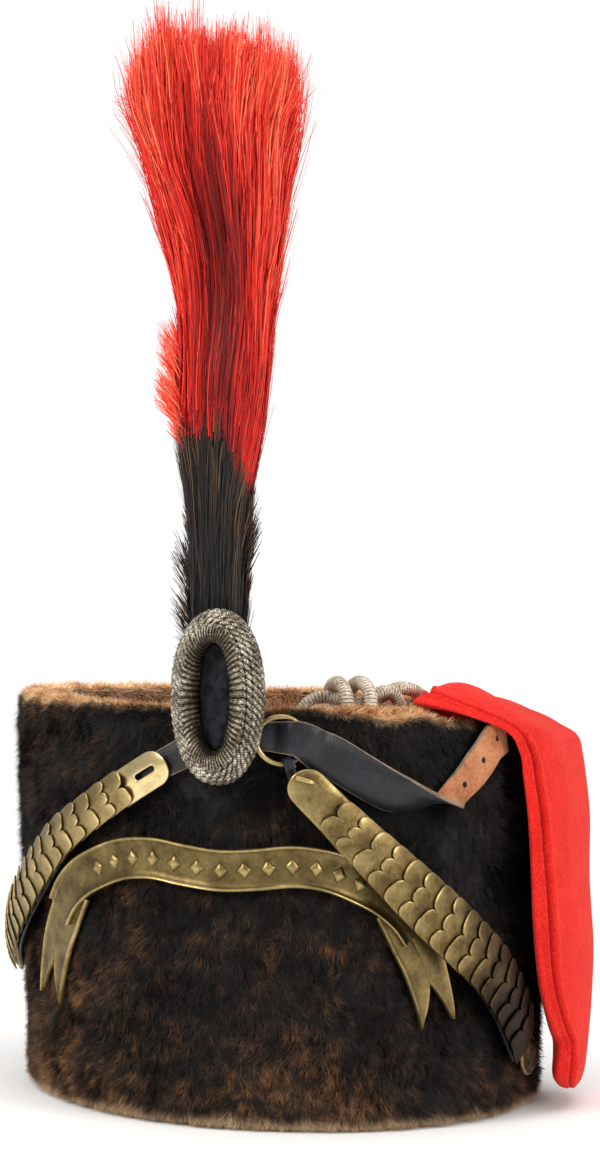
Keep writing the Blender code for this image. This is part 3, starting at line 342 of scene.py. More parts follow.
def brass_finish(name, stops, roughness):
    """Stamped sheet brass: olive with age in its hollows, rubbed golden where raised or at an edge, and
    painted darker as shade and lighter as a highlight where its mark says.
    """
    made, tree, shader = finish(name, Metallic=1.0, Roughness=roughness)
    place = add(tree, "TexCoord").outputs["Object"]
    # This mark is the rubbing, with painted shade on the straps' scales and bosses and a painted highlight on
    # the left end plate
    rubbed = add(tree, "SeparateXYZ", Vector=add(tree, "Attribute", STRAND).outputs["Vector"])
    # Tarnish in 9 mm clouds with 1 mm specks, and hairline scratches from polishing
    cloud = add(tree, "TexNoise", Vector=place, Scale=1 / 0.009, Detail=4.0, Roughness=0.6).outputs["Fac"]
    speck = add(tree, "TexNoise", Vector=place, Scale=1 / 0.0011, Detail=2.0, Roughness=0.7).outputs["Fac"]
    stretched = add(tree, "Mapping", Vector=place, Scale=(900.0, 2600.0, 500.0))
    scratch = add(tree, "TexNoise", Vector=stretched.outputs["Vector"], Scale=1.0, Detail=2.0).outputs["Fac"]
    mixed = add(tree, "Math", MIX, in0=speck, in1=0.35, in2=cloud).outputs[0]
    mixed = add(tree, "Math", MIX, in0=rubbed.outputs["Z"], in1=0.45, in2=mixed).outputs[0]
    scaled = add(tree, "Math", DIVIDE, in0=mixed, in1=1.6).outputs[0]
    colour = add(tree, "ValToRGB", stops=stops, Fac=scaled)
    gloss = add(tree, "MapRange", Value=mixed, in1=0.4, in2=1.3, in3=roughness + 0.14, in4=roughness - 0.08)
    bump = add(tree, "Bump", Strength=0.12, Distance=0.0002, Height=scratch)
    plug(tree, shader, Base_Color=colour.outputs["Color"], Roughness=gloss.outputs["Result"],
         Normal=bump.outputs["Normal"])
    return made


def leather_finish(name, stops, grain, roughness, depth):
    """Vegetable-tanned leather: pebbled on its grain side, fibrous on its flesh side and cut edge."""
    made, tree, shader = finish(name, Roughness=roughness, Specular_IOR_Level=0.45)
    place = add(tree, "TexCoord").outputs["Object"]
    # Pebbles of the grain's size, fibres between them and 11 mm clouds of wear
    pebble = add(tree, "TexVoronoi", {"feature": "DISTANCE_TO_EDGE"}, Vector=place,
                 Scale=1 / grain).outputs["Distance"]
    fibre = add(tree, "TexNoise", Vector=place, Scale=0.6 / grain, Detail=4.0, Roughness=0.7).outputs["Fac"]
    cloud = add(tree, "TexNoise", Vector=place, Scale=1 / 0.011, Detail=3.0).outputs["Fac"]
    mixed = add(tree, "Math", MIX, in0=fibre, in1=0.8, in2=cloud).outputs[0]
    scaled = add(tree, "Math", DIVIDE, in0=mixed, in1=1.8).outputs[0]
    relief = add(tree, "Math", {"operation": "ADD"}, in0=pebble, in1=fibre).outputs[0]
    bump = add(tree, "Bump", Strength=depth, Distance=0.0003, Height=relief)
    colour = add(tree, "ValToRGB", stops=stops, Fac=scaled)
    plug(tree, shader, Base_Color=colour.outputs["Color"], Normal=bump.outputs["Normal"])
    return made


def velvet_finish():
    """Black silk velvet: no highlight, only a faint bloom where the pile is seen from the side."""
    made, tree, shader = finish("black_velvet", Roughness=1.0, Specular_IOR_Level=0.1, Sheen_Weight=0.5,
                                Sheen_Roughness=0.3, Sheen_Tint=linear("#3A4250"))
    place = add(tree, "TexCoord").outputs["Object"]
    # The pile is too fine to show, so it is drawn as the 3 mm clouds where it is crushed
    crushed = add(tree, "TexNoise", Vector=place, Scale=1 / 0.003, Detail=3.0).outputs["Fac"]
    colour = add(tree, "ValToRGB", stops=[(0.35, "#1B1C20"), (0.65, "#303237")], Fac=crushed)
    bump = add(tree, "Bump", Strength=0.3, Distance=0.0005, Height=crushed)
    plug(tree, shader, Base_Color=colour.outputs["Color"], Normal=bump.outputs["Normal"])
    return made


def buckram_finish():
    """Stiffened linen inside the cap: a plain weave under brown size."""
    made, tree, shader = finish("stiffened_buckram", Roughness=0.8, Specular_IOR_Level=0.3)
    place = add(tree, "TexCoord").outputs["Object"]
    # Threads of 1 mm, drawn at 1.6 mm so that they show, and 20 mm stains
    weave = add(tree, "TexVoronoi", {"distance": "CHEBYCHEV"}, Vector=place, Scale=1 / 0.0016,
                Randomness=0.25).outputs["Distance"]
    stain = add(tree, "TexNoise", Vector=place, Scale=1 / 0.02, Detail=3.0).outputs["Fac"]
    colour = add(tree, "ValToRGB", stops=[(0.3, "#3B2A1D"), (0.7, "#6B4E36")], Fac=stain)
    bump = add(tree, "Bump", Strength=0.4, Distance=0.0004, Height=weave)
    plug(tree, shader, Base_Color=colour.outputs["Color"], Normal=bump.outputs["Normal"])
    return made


def steel_finish():
    """Drawn steel wire and plate, dulled by handling."""
    made, tree, shader = finish("drawn_steel", Metallic=1.0, Roughness=0.4)
    place = add(tree, "TexCoord").outputs["Object"]
    # Dull spots of 4 mm
    dull = add(tree, "TexNoise", Vector=place, Scale=1 / 0.004, Detail=3.0).outputs["Fac"]
    colour = add(tree, "ValToRGB", stops=[(0.35, "#6E6A62"), (0.7, "#A5A29A")], Fac=dull)
    plug(tree, shader, Base_Color=colour.outputs["Color"])
    return made


FUR = fur_finish()
RED_HAIR = hair_finish("dyed_red_horsehair", [(0.18, "#6E0D0D"), (0.36, "#A81512"), (0.52, "#DD251B"),
                                              (0.66, "#FB402D"), (0.86, "#FF8660")],
                       roughness=0.5, shine=0.28)
BLACK_HAIR = hair_finish("black_horsehair", [(0.10, "#050505"), (0.50, "#0B0A0B"), (0.72, "#171314"),
                                             (0.86, "#6A4C30")], roughness=0.5, shine=0.4)
BROADCLOTH = broadcloth_finish()
SILVER_WIRE = wire_finish("tarnished_silver_wire", [(0.38, "#1E1812"), (0.52, "#4E4335"), (0.66, "#8C8270"),
                                                    (0.80, "#F6F0E0")], 0.8)
PALE_WIRE = wire_finish("pale_silver_cord", [(0.34, "#33261E"), (0.50, "#86735E"), (0.64, "#CFC0A8"),
                                             (0.80, "#FFF8EA")], 0.4)
SCALE_BRASS = brass_finish("satin_sheet_brass", [(0.02, "#211810"), (0.10, "#35291B"), (0.28, "#655434"),
                                                 (0.44, "#8F7D53"), (0.62, "#B09C6C"), (0.85, "#E2CC98")],
                          roughness=0.36)
SCROLL_BRASS = brass_finish("aged_stamped_brass", [(0.30, "#4A3E27"), (0.44, "#6E5F3D"), (0.64, "#948154"),
                                                   (0.85, "#C6B07A")], roughness=0.38)
# Leather's grain is about 0.5 mm, and is drawn a little coarser so that it shows
GRAIN_LEATHER = leather_finish("black_grain_leather", [(0.35, "#06080C"), (0.50, "#0C1016"),
                                                       (0.66, "#1D242D")],
                               grain=0.0009, roughness=0.42, depth=0.3)
FLESH_LEATHER = leather_finish("tan_flesh_side", [(0.34, "#6A3E26"), (0.47, "#A3653F"), (0.62, "#BE8259")],
                               grain=0.0007, roughness=0.85, depth=0.45)
CUT_LEATHER = leather_finish("cut_leather_edge", [(0.35, "#4A3A2E"), (0.60, "#8A7460")],
                             grain=0.0006, roughness=0.7, depth=0.4)
VELVET = velvet_finish()
BUCKRAM = buckram_finish()
STEEL = steel_finish()


# Meshes


def grid_faces(rows, columns, wrap=False, first=0):
    """Quads over a grid of points, row by row. With wrap, the last column joins the first."""
    across = columns if wrap else columns - 1
    i, j = np.meshgrid(np.arange(rows - 1), np.arange(across), indexing="ij")
    a, b = i * columns + j, i * columns + (j + 1) % columns
    quads = np.stack([a, b, b + columns, a + columns], axis=-1).reshape(-1, 4) + first
    return quads.tolist()


def closing_faces(rows, columns):
    """Quads from a loft's last ring to its first."""
    last = (rows - 1) * columns
    return [[last + j, last + (j + 1) % columns, (j + 1) % columns, j] for j in range(columns)]


def new_mesh(name, points, faces, finishes):
    """A mesh of points and faces with its materials."""
    mesh = bpy.data.meshes.new(name)
    mesh.from_pydata(np.asarray(points, float).reshape(-1, 3).tolist(), [], faces)
    for look in finishes:
        mesh.materials.append(look)
    return mesh


def turn_faces_out(mesh):
    """Turns the faces of closed forms outward."""
    shape = bmesh.new()
    shape.from_mesh(mesh)
    bmesh.ops.recalc_face_normals(shape, faces=shape.faces)
    shape.to_mesh(mesh)
    shape.free()


def show(name, data):
    """An object in the scene."""
    made = bpy.data.objects.new(name, data)
    bpy.context.scene.collection.objects.link(made)
    return made


def add_piece(name, points, faces, finishes, stands_for, slot, marks=None, smooth=40, turn_out=True,
              indices=None):
    """One piece that rides on the cap. marks is its strand attribute: three numbers for each point."""
    mesh = new_mesh(name, points, faces, finishes)
    if indices is not None:
        mesh.polygons.foreach_set("material_index", np.asarray(indices, np.int32))
    if marks is not None:
        attribute = mesh.attributes.new("strand", "FLOAT_VECTOR", "POINT")
        attribute.data.foreach_set("vector", np.asarray(marks, np.float32).ravel())
    if turn_out:
        turn_faces_out(mesh)
    mesh.shade_smooth()
    mesh.set_sharp_from_angle(angle=math.radians(smooth))
    made = show(name, mesh)
    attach(made, "root")
    if stands_for:
        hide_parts(*stands_for)
    return made


class Bundle:
    """Points, faces and marks of several closed forms that make one piece."""

    def __init__(self):
        self.points, self.faces, self.marks, self.count = [], [], [], 0

    def put(self, points, faces, marks=None):
        """Adds one form. Without marks its points are marked 0."""
        points = np.asarray(points, float).reshape(-1, 3)
        marks = np.zeros((len(points), 3)) if marks is None else np.asarray(marks, float).reshape(-1, 3)
        self.points.append(points)
        self.faces += [tuple(k + self.count for k in face) for face in faces]
        self.marks.append(marks)
        self.count += len(points)

    def loft(self, rings, closed=False, marks=None):
        """Rings of equally many points, with flat ends, or joined end to end."""
        rings = np.asarray(rings, float)
        rows, columns = rings.shape[:2]
        faces = grid_faces(rows, columns, wrap=True)
        if closed:
            faces += closing_faces(rows, columns)
        else:
            faces += [list(range(columns)), [(rows - 1) * columns + j for j in range(columns)]]
        self.put(rings, faces, marks)

    def piece(self, name, finishes, stands_for, slot, **more):
        """Makes the piece of all that the bundle holds."""
        return add_piece(name, np.vstack(self.points), self.faces, finishes, stands_for, slot,
                         marks=np.vstack(self.marks), **more)


def frames_along(line, closed=False):
    """Direction, normal and side at each point of a line, carried without twist."""
    line = np.asarray(line, float)
    if closed:
        way = np.roll(line, -1, axis=0) - np.roll(line, 1, axis=0)
    else:
        way = np.gradient(line, axis=0)
    way /= np.linalg.norm(way, axis=1)[:, None]
    normal = np.zeros_like(way)
    start = np.cross(way[0], [0.0, 0.0, 1.0] if abs(way[0][2]) < 0.9 else [1.0, 0.0, 0.0])
    now = start / np.linalg.norm(start)
    for i, w in enumerate(way):
        now = now - w * np.dot(now, w)
        now /= np.linalg.norm(now)
        normal[i] = now
    return way, normal, np.cross(way, normal)


def tube(line, radius, sides, closed=False):
    """Rings of a tube. radius is one number, or one for each ring, or for each of its points."""
    line = np.asarray(line, float)
    _, normal, side = frames_along(line, closed)
    turn = circle(sides)
    radius = np.asarray(radius, float)
    radius = radius.reshape(-1, 1) if radius.ndim == 1 else radius
    radius = np.broadcast_to(radius, (len(line), sides))[:, :, None]
    around = np.cos(turn)[None, :, None] * normal[:, None] + np.sin(turn)[None, :, None] * side[:, None]
    return line[:, None] + radius * around


def refined(line, step, closed=False):
    """The line again with points about step apart, and the length to each."""
    line = np.asarray(line, float)
    if closed:
        line = np.vstack([line, line[:1]])
    along = lengths_along(line)
    count = max(4, int(round(along[-1] / step)))
    at = np.linspace(0, along[-1], count + 1)
    at = at[:-1] if closed else at
    return np.stack([np.interp(at, along, line[:, k]) for k in range(3)], axis=1), at


def wear_and_light_marks(rubbed):
    """Marks of points that differ only in how far they are rubbed, with painted shade and highlight added on
    the straps' brass.
    """
    return np.stack([np.zeros_like(rubbed), np.zeros_like(rubbed), rubbed], axis=1)


# Fur

SKIN = 0.0026
SKIN_COLUMNS = 216
SKIN_FOOT = 0.0005
RIM_RADIUS = WALL / 2
PILE_LENGTH = 0.0048
PILE_ROOT = SKIN + 0.0003
TUFT_SIZE = 0.0023
TUFT_ROWS = 80
SIZE_ALL_ROUND = 2 * ARCS[-1]
FIELD_HEIGHT = 0.19
FREE_ROWS = 176
# Lengths of pile round the hem, up the wall, over the rim and down inside it. The rim's is longer than its
# arc, so that its pile is denser.
HEM_RUN = 0.0079
WALL_RUN = 0.1285
RIM_RUN = 0.0204 * 1.3
INNER_RUN = 0.007
# Room for hair pressed flat under a fitting, how far the bag presses it down, and up to where from its middle
FLAT_HAIR = 0.0005
BAG_PRESSES = 0.0030
BAG_REACHES = 0.088
SHORTEST_HAIR = 0.0012


def lumps(arc, height, size, seed):
    """A smooth random field over the cap's wall, from -1 to 1, with lumps of about that size."""
    columns = int(SIZE_ALL_ROUND / size)
    rows = int(FIELD_HEIGHT / size) + 4
    grid = np.random.default_rng(seed).uniform(-1, 1, (rows, columns))
    x = np.asarray(arc) / size + columns
    y = np.clip(np.asarray(height) / size + 1, 0, rows - 2.001)
    i, j = np.floor(y).astype(int), np.floor(x).astype(int)
    v, u = y - i, x - j
    v, u = v * v * (3 - 2 * v), u * u * (3 - 2 * u)
    j, k = j % columns, (j + 1) % columns
    below = grid[i, j] * (1 - u) + grid[i, k] * u
    above = grid[i + 1, j] * (1 - u) + grid[i + 1, k] * u
    return below * (1 - v) + above * v


def step_up(value, low, high):
    """0 below low, 1 above high, and smooth between them."""
    t = np.clip((np.asarray(value) - low) / (high - low), 0, 1)
    return t * t * (3 - 2 * t)


def hump(value, middle, width):
    """1 at the middle, and smoothly down to nothing about twice the width away."""
    return np.exp(-((value - middle) / width) ** 2)


def fur_top(arc):
    """Height of the rim's fur, which stands in soft tufts and fullest before the bag."""
    full = 0.0011 + 0.0016 * step_up(arc, 0.01, 0.04) * (1 - step_up(arc, 0.125, 0.165))
    tufts = 0.0005 * lumps(arc, 0 * arc, 0.012, 51) + 0.0004 * lumps(arc, 0 * arc, 0.005, 52)
    return rim_height(np.interp(arc, ARCS, ANGLES)) + full + tufts


def worn_dye(arc, height, top):
    """How far the dye has gone, along the rim and along the hem, and less under the bag, as its painted
    shadow.
    """
    ragged = 0.0012 * lumps(arc, height, 0.009, 41) + 0.0009 * lumps(arc, height, 0.0035, 42)
    # The rim's worn band reaches lower in places: on the wearer's right, before the bag and in one dip there
    low = top - 0.0016 - 0.0012 * step_up(lumps(arc, height * 0, 0.03, 43), 0.0, 0.9)
    low = low - 0.0026 * step_up(-arc, 0.015, 0.07) - 0.0012 * step_up(arc, 0.035, 0.06)
    low = low - 0.0022 * hump(arc, 0.058, 0.009)
    # Under the bag the rim's ginger is mostly taken away, as the bag's painted shadow
    under_bag = 0.8 * step_up(arc, 0.088, 0.105) * step_up(-arc, -0.25, -0.23)
    rim = step_up(height + ragged, low, low + 0.0016) * (1 - under_bag)
    hem = 0.55 * (1 - step_up(height + ragged, 0.0008, 0.0038))
    return np.maximum(rim, hem)


def faded_dye(arc, height):
    """How pale the dye is: most low on the wearer's right and least at the wearer's left, and even behind."""
    low, right, left = step_up(-height, -0.085, -0.02), step_up(-arc, -0.01, 0.08), step_up(arc, -0.08, 0.0)
    faded = 0.40 * low * right + 0.12 * step_up(-arc, 0.03, 0.10)
    faded = faded - 0.25 * step_up(height, 0.06, 0.12) * left - 0.15 * step_up(arc, 0.02, 0.09)
    return faded * (1 - step_up(np.abs(arc), 0.20, 0.31)) + 0.24 * step_up(-height, -0.035, -0.008)


def make_fur_skin():
    """The hide that the pile grows from, over the stiff foundation, which is bare inside."""
    angles = circle(SKIN_COLUMNS) - math.pi
    arcs = np.interp(angles, ANGLES, ARCS)
    top = fur_top(arcs)
    # Inset and height: under the hem and round it, then up the wall with heights as shares of the rim's
    section = [(WALL, SKIN_FOOT), (HEM_ROUND, SKIN_FOOT)]
    section += [(SKIN + (HEM_ROUND - SKIN) * (1 - math.sin(t)), SKIN_FOOT + HEM_ROUND * (1 - math.cos(t)))
                for t in np.linspace(math.pi / 8, math.pi / 2, 4)]
    hem_rings = len(section)
    section += [(SKIN, share) for share in np.linspace(0.06, 0.94, 44)[1:]]
    rings = []
    for k, (inset, height) in enumerate(section):
        height = height * (np.ones(SKIN_COLUMNS) if k < hem_rings else top)
        bulge = 0.0009 * lumps(arcs, height, 0.016, 11) + 0.0005 * lumps(arcs, height, 0.006, 12)
        # The hide lies over the foot of the plume's stem
        stem = 0.0014 * hump(arcs, -0.0015, 0.012) * step_up(height, 0.082, 0.094)
        rings.append(at_angle(angles, height, -inset + (bulge + stem if k >= hem_rings else 0)))
    for t in np.linspace(0.1, math.pi, 9):
        radius = RIM_RADIUS - SKIN + 0.0006 * lumps(arcs, top + t * RIM_RADIUS, 0.008, 13)
        height = top - RIM_RADIUS + radius * math.sin(t)
        rings.append(at_angle(angles, height, -RIM_RADIUS + radius * math.cos(t)))
    bare = [at_angle(angles, CROWN_EDGE * np.ones(SKIN_COLUMNS) - 0.002, -WALL + SKIN)]
    bare += [at_angle(angles, height, -WALL) for height in np.linspace(CROWN_EDGE - 0.0022, 0.01, 8)]
    rings = np.stack(rings + bare)
    rows = len(rings)
    points = rings.reshape(-1, 3)
    height = points[:, 2]
    arc = np.tile(arcs, rows)
    worn = worn_dye(arc, height, np.tile(top, rows))
    marks = np.stack([0.25 + 0.1 * lumps(arc, height, 0.004, 14), 0 * height, 0.8 * worn], axis=1)
    faces = grid_faces(rows, SKIN_COLUMNS, wrap=True) + closing_faces(rows, SKIN_COLUMNS)
    inside = (np.arange(len(faces)) // SKIN_COLUMNS >= rows - len(bare) - 1).astype(np.int32)
    add_piece("fur_hide", points, faces, [FUR, BUCKRAM], ["fur_body"], "dark_fur", marks=marks, smooth=70,
              indices=inside)


def free_cell(arc, height, columns):
    """Row and column of a place in the table of free lifts, which has a cell for each millimetre."""
    i = np.clip((height / MM).astype(int) + 2, 0, FREE_ROWS - 1)
    j = np.clip(((arc + SIZE_ALL_ROUND / 2) / MM).astype(int) + 1, 0, columns - 1)
    return i, j


def clear_lift():
    """How far out each millimetre of the wall is free before the first fitting."""
    clear_of = ("fur_body", "crown_cloth", "plume_red", "plume_black", "plume_stem", "badge_back")
    splits = 12
    steps = [(a / splits, b / splits) for a in range(splits + 1) for b in range(splits + 1 - a)]
    places = []
    for name, node in nodes.items():
        if name in clear_of or name.startswith("cap_cord"):
            continue
        mesh = node.data
        mesh.calc_loop_triangles()
        points = np.array([tuple(v.co) for v in mesh.vertices])
        corners = points[np.array([tuple(t.vertices) for t in mesh.loop_triangles])]
        for a, b in steps:
            spot = corners[:, 0] * (1 - a - b) + corners[:, 1] * a + corners[:, 2] * b
            places.append(cap_place(spot))
    arc, height, lift = (np.concatenate(values) for values in zip(*places))
    columns = int(SIZE_ALL_ROUND / MM) + 4
    free = np.full((FREE_ROWS, columns), 1.0)
    i, j = free_cell(arc, height, columns)
    for di in (-1, 0, 1):
        for dj in (-1, 0, 1):
            np.minimum.at(free, (np.clip(i + di, 0, FREE_ROWS - 1), np.clip(j + dj, 0, columns - 1)), lift)
    return free


FREE = clear_lift()


def free_at(arc, height):
    """How far out the wall is free at a place."""
    return FREE[free_cell(arc, height, FREE.shape[1])]


def pile_section(way, top):
    """The pile's section at a length along it: whether it is over the rim and inside it, its turn round hem
    or rim, inset and height, and the ways that hair grows and is stroked, both as (out, up)."""
    past_wall = way - HEM_RUN - WALL_RUN
    hem = way < HEM_RUN
    rim = (way >= HEM_RUN + WALL_RUN) & (way < HEM_RUN + WALL_RUN + RIM_RUN)
    inner = way >= HEM_RUN + WALL_RUN + RIM_RUN
    turn = np.where(hem, way / HEM_RUN * math.pi / 2, past_wall / RIM_RUN * math.pi)
    sin, cos = np.sin(turn), np.cos(turn)
    wall_height = HEM_ROUND + (way - HEM_RUN) / WALL_RUN * (top - RIM_RADIUS - HEM_ROUND)
    inset = np.where(hem, HEM_ROUND * (1 - sin), np.where(rim, RIM_RADIUS * (1 - cos), 0.0))
    inset = np.where(inner, WALL, inset)
    height = np.where(rim, top - RIM_RADIUS + RIM_RADIUS * sin, wall_height)
    height = np.where(hem, HEM_ROUND * (1 - cos), height)
    height = np.where(inner, top - RIM_RADIUS - (past_wall - RIM_RUN), height)
    grows = (np.where(hem, sin, np.where(rim, cos, np.where(inner, -1.0, 1.0))),
             np.where(hem, -cos, np.where(rim, sin, 0.0)))
    # Hair is stroked down the wall, and off the rim's top to both sides
    to_side = np.where(rim & (turn > 1.8), -1.0, 1.0)
    stroked = (np.where(hem, -cos, np.where(rim, sin, 0.0)) * to_side,
               np.where(hem, -sin, np.where(rim, -cos, -1.0)) * np.where(inner, 1.0, to_side))
    return rim, inner, turn, inset, height, grows, stroked


def make_pile(name, count, first, last, width, seed):
    """Clipped hairs in small tufts, from the hem, up the wall and over the rim, between two arcs."""
    rng = np.random.default_rng(seed)
    arc = rng.uniform(first, last, count)
    angle = np.interp(arc, ARCS, ANGLES)
    top = fur_top(arc)
    way = rng.uniform(0, HEM_RUN + WALL_RUN + RIM_RUN + INNER_RUN, count)
    rim, inner, turn, inset, height, grows, stroked = pile_section(way, top)
    root = at_angle(angle, height - grows[1] * PILE_ROOT, -inset - grows[0] * PILE_ROOT)
    out = at_angle(angle, height, 1.0) - at_angle(angle, height, 0.0)
    along = np.stack([-out[:, 1], out[:, 0], np.zeros(count)], axis=1)
    up = np.array([0.0, 0.0, 1.0])
    normal = out * grows[0][:, None] + up * grows[1][:, None]
    down = out * stroked[0][:, None] + up * stroked[1][:, None]

    # Tufts: the hairs of one cell lean together, and their tips draw in
    across = int(SIZE_ALL_ROUND / TUFT_SIZE)
    table = np.random.default_rng(5).uniform(0, 1, (TUFT_ROWS, across + 2, 5))
    from_back = arc + SIZE_ALL_ROUND / 2
    i = np.clip((way / TUFT_SIZE).astype(int), 0, TUFT_ROWS - 1)
    j = (from_back / TUFT_SIZE).astype(int)
    cell = table[i, j]
    to_way = ((i + cell[:, 0]) * TUFT_SIZE - way)[:, None]
    to_arc = ((j + cell[:, 1]) * TUFT_SIZE - from_back)[:, None]
    # Radians that hair turns from its stroke, and tilts from upright: in clouds, in tufts and each by itself
    swirl = 0.9 * lumps(arc, way, 0.011, 21) + 1.2 * (cell[:, 2] - 0.5) + rng.normal(0, 0.35, count)
    tilt = 0.95 + 0.20 * lumps(arc, way, 0.007, 22) + 0.30 * (cell[:, 3] - 0.5) + rng.normal(0, 0.14, count)
    # The rim's pile is rubbed short, and curls every way
    on_rim = rim | inner | (height > top - 0.009)
    swirl = swirl + on_rim * rng.normal(0, 0.9, count)
    length = PILE_LENGTH * (0.85 + 0.3 * cell[:, 4]) * rng.uniform(0.75, 1.2, count)
    length = length * np.where(on_rim, 0.72, 1.0)
    lying = down * np.cos(swirl)[:, None] + along * np.sin(swirl)[:, None]
    way_out = normal * np.cos(tilt)[:, None] + lying * np.sin(tilt)[:, None]
    tip = root + way_out * length[:, None] + 0.35 * (to_arc * along - to_way * down)

    # Hair lies flat under a fitting and under the bag where it crosses the rim
    tip_arc, tip_height, tip_lift = cap_place(tip)
    on_wall = ~(rim | inner)
    allowed = np.minimum(free_at(tip_arc, tip_height), free_at(arc, height)) - FLAT_HAIR
    pressed = on_wall & (tip_lift > allowed)
    tip = tip - out * np.where(pressed, tip_lift - allowed, 0.0)[:, None]
    under_bag = (rim | inner) & (np.abs(arc - QUARTER) < BAG_REACHES)
    proud = BAG_PRESSES * np.maximum(0, np.cos(tilt))
    tip = tip - normal * np.where(under_bag, proud, 0.0)[:, None]
    tip[:, 2] = np.maximum(tip[:, 2], 0.0002)
    root[:, 2] = np.maximum(root[:, 2], 0.0004)
    covered = on_wall & (allowed < -SKIN + 0.0004)
    keep = ~covered & (np.linalg.norm(tip - root, axis=1) > SHORTEST_HAIR)

    side = np.cross(tip - root, normal)
    side /= np.maximum(np.linalg.norm(side, axis=1), 1e-9)[:, None]
    half = (width / 2 * rng.uniform(0.7, 1.3, count))[:, None]
    points = np.stack([root - side * half, root + side * half, tip], axis=1)[keep]
    inside = inner | (rim & (turn > math.pi / 2))
    kept = 1 - 0.55 * np.where(inner, 1.0, step_up(turn, 1.9, 2.6))
    worn = np.where(inside, kept, worn_dye(arc, height, top))
    worn_tip = np.where(inside, kept, worn_dye(tip_arc, tip[:, 2], top))
    tone = 0.45 * cell[:, 4] + 0.55 * rng.uniform(0, 1, count) + faded_dye(arc, height)
    marks = np.zeros((count, 3, 3))
    marks[:, :, 0] = tone[:, None]
    marks[:, 2, 1] = 1.0
    marks[:, :, 2] = np.stack([worn, worn, worn_tip], axis=1) * rng.uniform(0.75, 1.0, count)[:, None]
    faces = np.arange(len(points) * 3).reshape(-1, 3).tolist()
    add_piece(name, points, faces, [FUR], [], "dark_fur", marks=marks[keep], turn_out=False, smooth=180)


make_fur_skin()
# Hairs, the arcs that they stand between, width and seed. Behind, fewer and wider hairs cover as well.
make_pile("fur_pile_front_right", 130000, 0.0, 0.140, 0.00034, 101)
make_pile("fur_pile_front_left", 130000, -0.135, 0.0, 0.00034, 102)
make_pile("fur_pile_back_right", 75000, 0.140, ARCS[-1], 0.0005, 103)
make_pile("fur_pile_back_left", 80000, ARCS[0], -0.135, 0.0005, 104)


# Crown and bag

CROWN_COLUMNS = 144
CLOTH_THICK = 0.002


def make_crown():
    """The red cloth top, drawn down inside the rim, with soft puckers from its sewn edge."""
    angles = circle(CROWN_COLUMNS) - math.pi
    middle = np.array([RIM_SKEW * CROWN_EDGE / HAT_HEIGHT, 0.0, 0.0]) + AXIS
    edge = at_angle(angles, CROWN_EDGE, -WALL - GAP)

    def ring(share, drop):
        """The cloth's points at a share of the way from its middle to its edge."""
        points = middle + (edge - middle) * share
        rise = CROWN_RISE * min(1.0, (1 - share) / (1 - CROWN_FLAT))
        pucker = 0.0005 * np.cos(31 * angles + 3 * np.sin(4 * angles)) * step_up(share, 0.6, 0.97)
        points[:, 2] = CROWN_EDGE + rise - drop + pucker - 0.0006 * step_up(share, 0.45, 0.55)
        return points

    shares = [0.02, 0.25, 0.45, 0.5, 0.55, 0.7, 0.82, 0.92, 0.97, 1.0]
    cloth = Bundle()
    cloth.loft([ring(s, CLOTH_THICK) for s in shares] + [ring(s, 0.0) for s in shares[::-1]])
    made = cloth.piece("crown_broadcloth", [BROADCLOTH], ["crown_cloth"], "red_cloth")


BAG_ROWS = 150
BAG_HALF_WIDTH = 0.048
BAG_STAND_OFF = 0.010
BAG_HALF_THICK = 0.0062
BAG_ROOT = 0.052
BAG_TIP_HEIGHT = 0.0065
# In from the fur, out from it, height, half width and half thickness, as shares of the sizes above. The first
# two are sewn down on the crown.
BAG_SECTIONS = [
    (1.06, 0, 0.992, 0.88, 0.14), (0.94, 0, 0.995, 0.92, 0.20), (0.75, 0, 1.010, 1.10, 0.34),
    (0.54, 0, 1.028, 1.34, 0.42), (0.39, 0, 1.034, 1.62, 0.50), (0.25, 0, 1.034, 1.84, 0.52),
    (0.08, 0, 1.026, 1.72, 0.48), (0, 0.54, 0.985, 1.30, 0.42), (0, 0.68, 0.930, 1.16, 0.52),
    (0, 0.73, 0.870, 1.13, 0.68), (0, 0.86, 0.752, 1.08, 0.85), (0, 0.97, 0.600, 1.05, 0.95),
    (0, 1.02, 0.450, 1.00, 1.00), (0, 1.06, 0.300, 0.89, 1.00), (0, 1.14, 0.180, 0.70, 0.98),
    (0, 1.16, 0.095, 0.54, 0.92), (0, 1.12, 0.035, 0.45, 0.78), (0, 1.06, 0.006, 0.32, 0.50),
    (0, 1.02, -0.003, 0.12, 0.15),
]
# Columns of points round a section: from which turn, in radians from its front edge, to which, and how many.
# They lie close together along the seam, so that its groove comes out narrow.
BAG_COLUMNS = [(-0.45, 0.25, 26), (0.25, 0.95, 64), (0.95, 2 * math.pi - 0.45, 84)]
# Where the front seam runs round the section: (share of the bag's length, turn)
SEAM_TURN = [(0, 0.42), (0.35, 0.44), (0.5, 0.45), (0.75, 0.48), (1, 0.66)]
SEAM_DEPTH = 0.0026
SEAM_HALF_WIDTH = 0.0009
WELT_PLACE = 0.0026
WELT_HALF_WIDTH = 0.0014
WELT_RISE = 0.0011


def crown_height(points):
    """Height of the crown's cloth above or below points."""
    place = points - AXIS
    middle = RIM_SKEW * CROWN_EDGE / HAT_HEIGHT
    aside = (place[..., 0] - middle) / (RIM_HALF_WIDTH - WALL)
    share = np.hypot(aside, place[..., 1] / (RIM_HALF_DEPTH - WALL))
    return CROWN_EDGE + CROWN_RISE * np.minimum(1.0, (1 - share) / (1 - CROWN_FLAT))


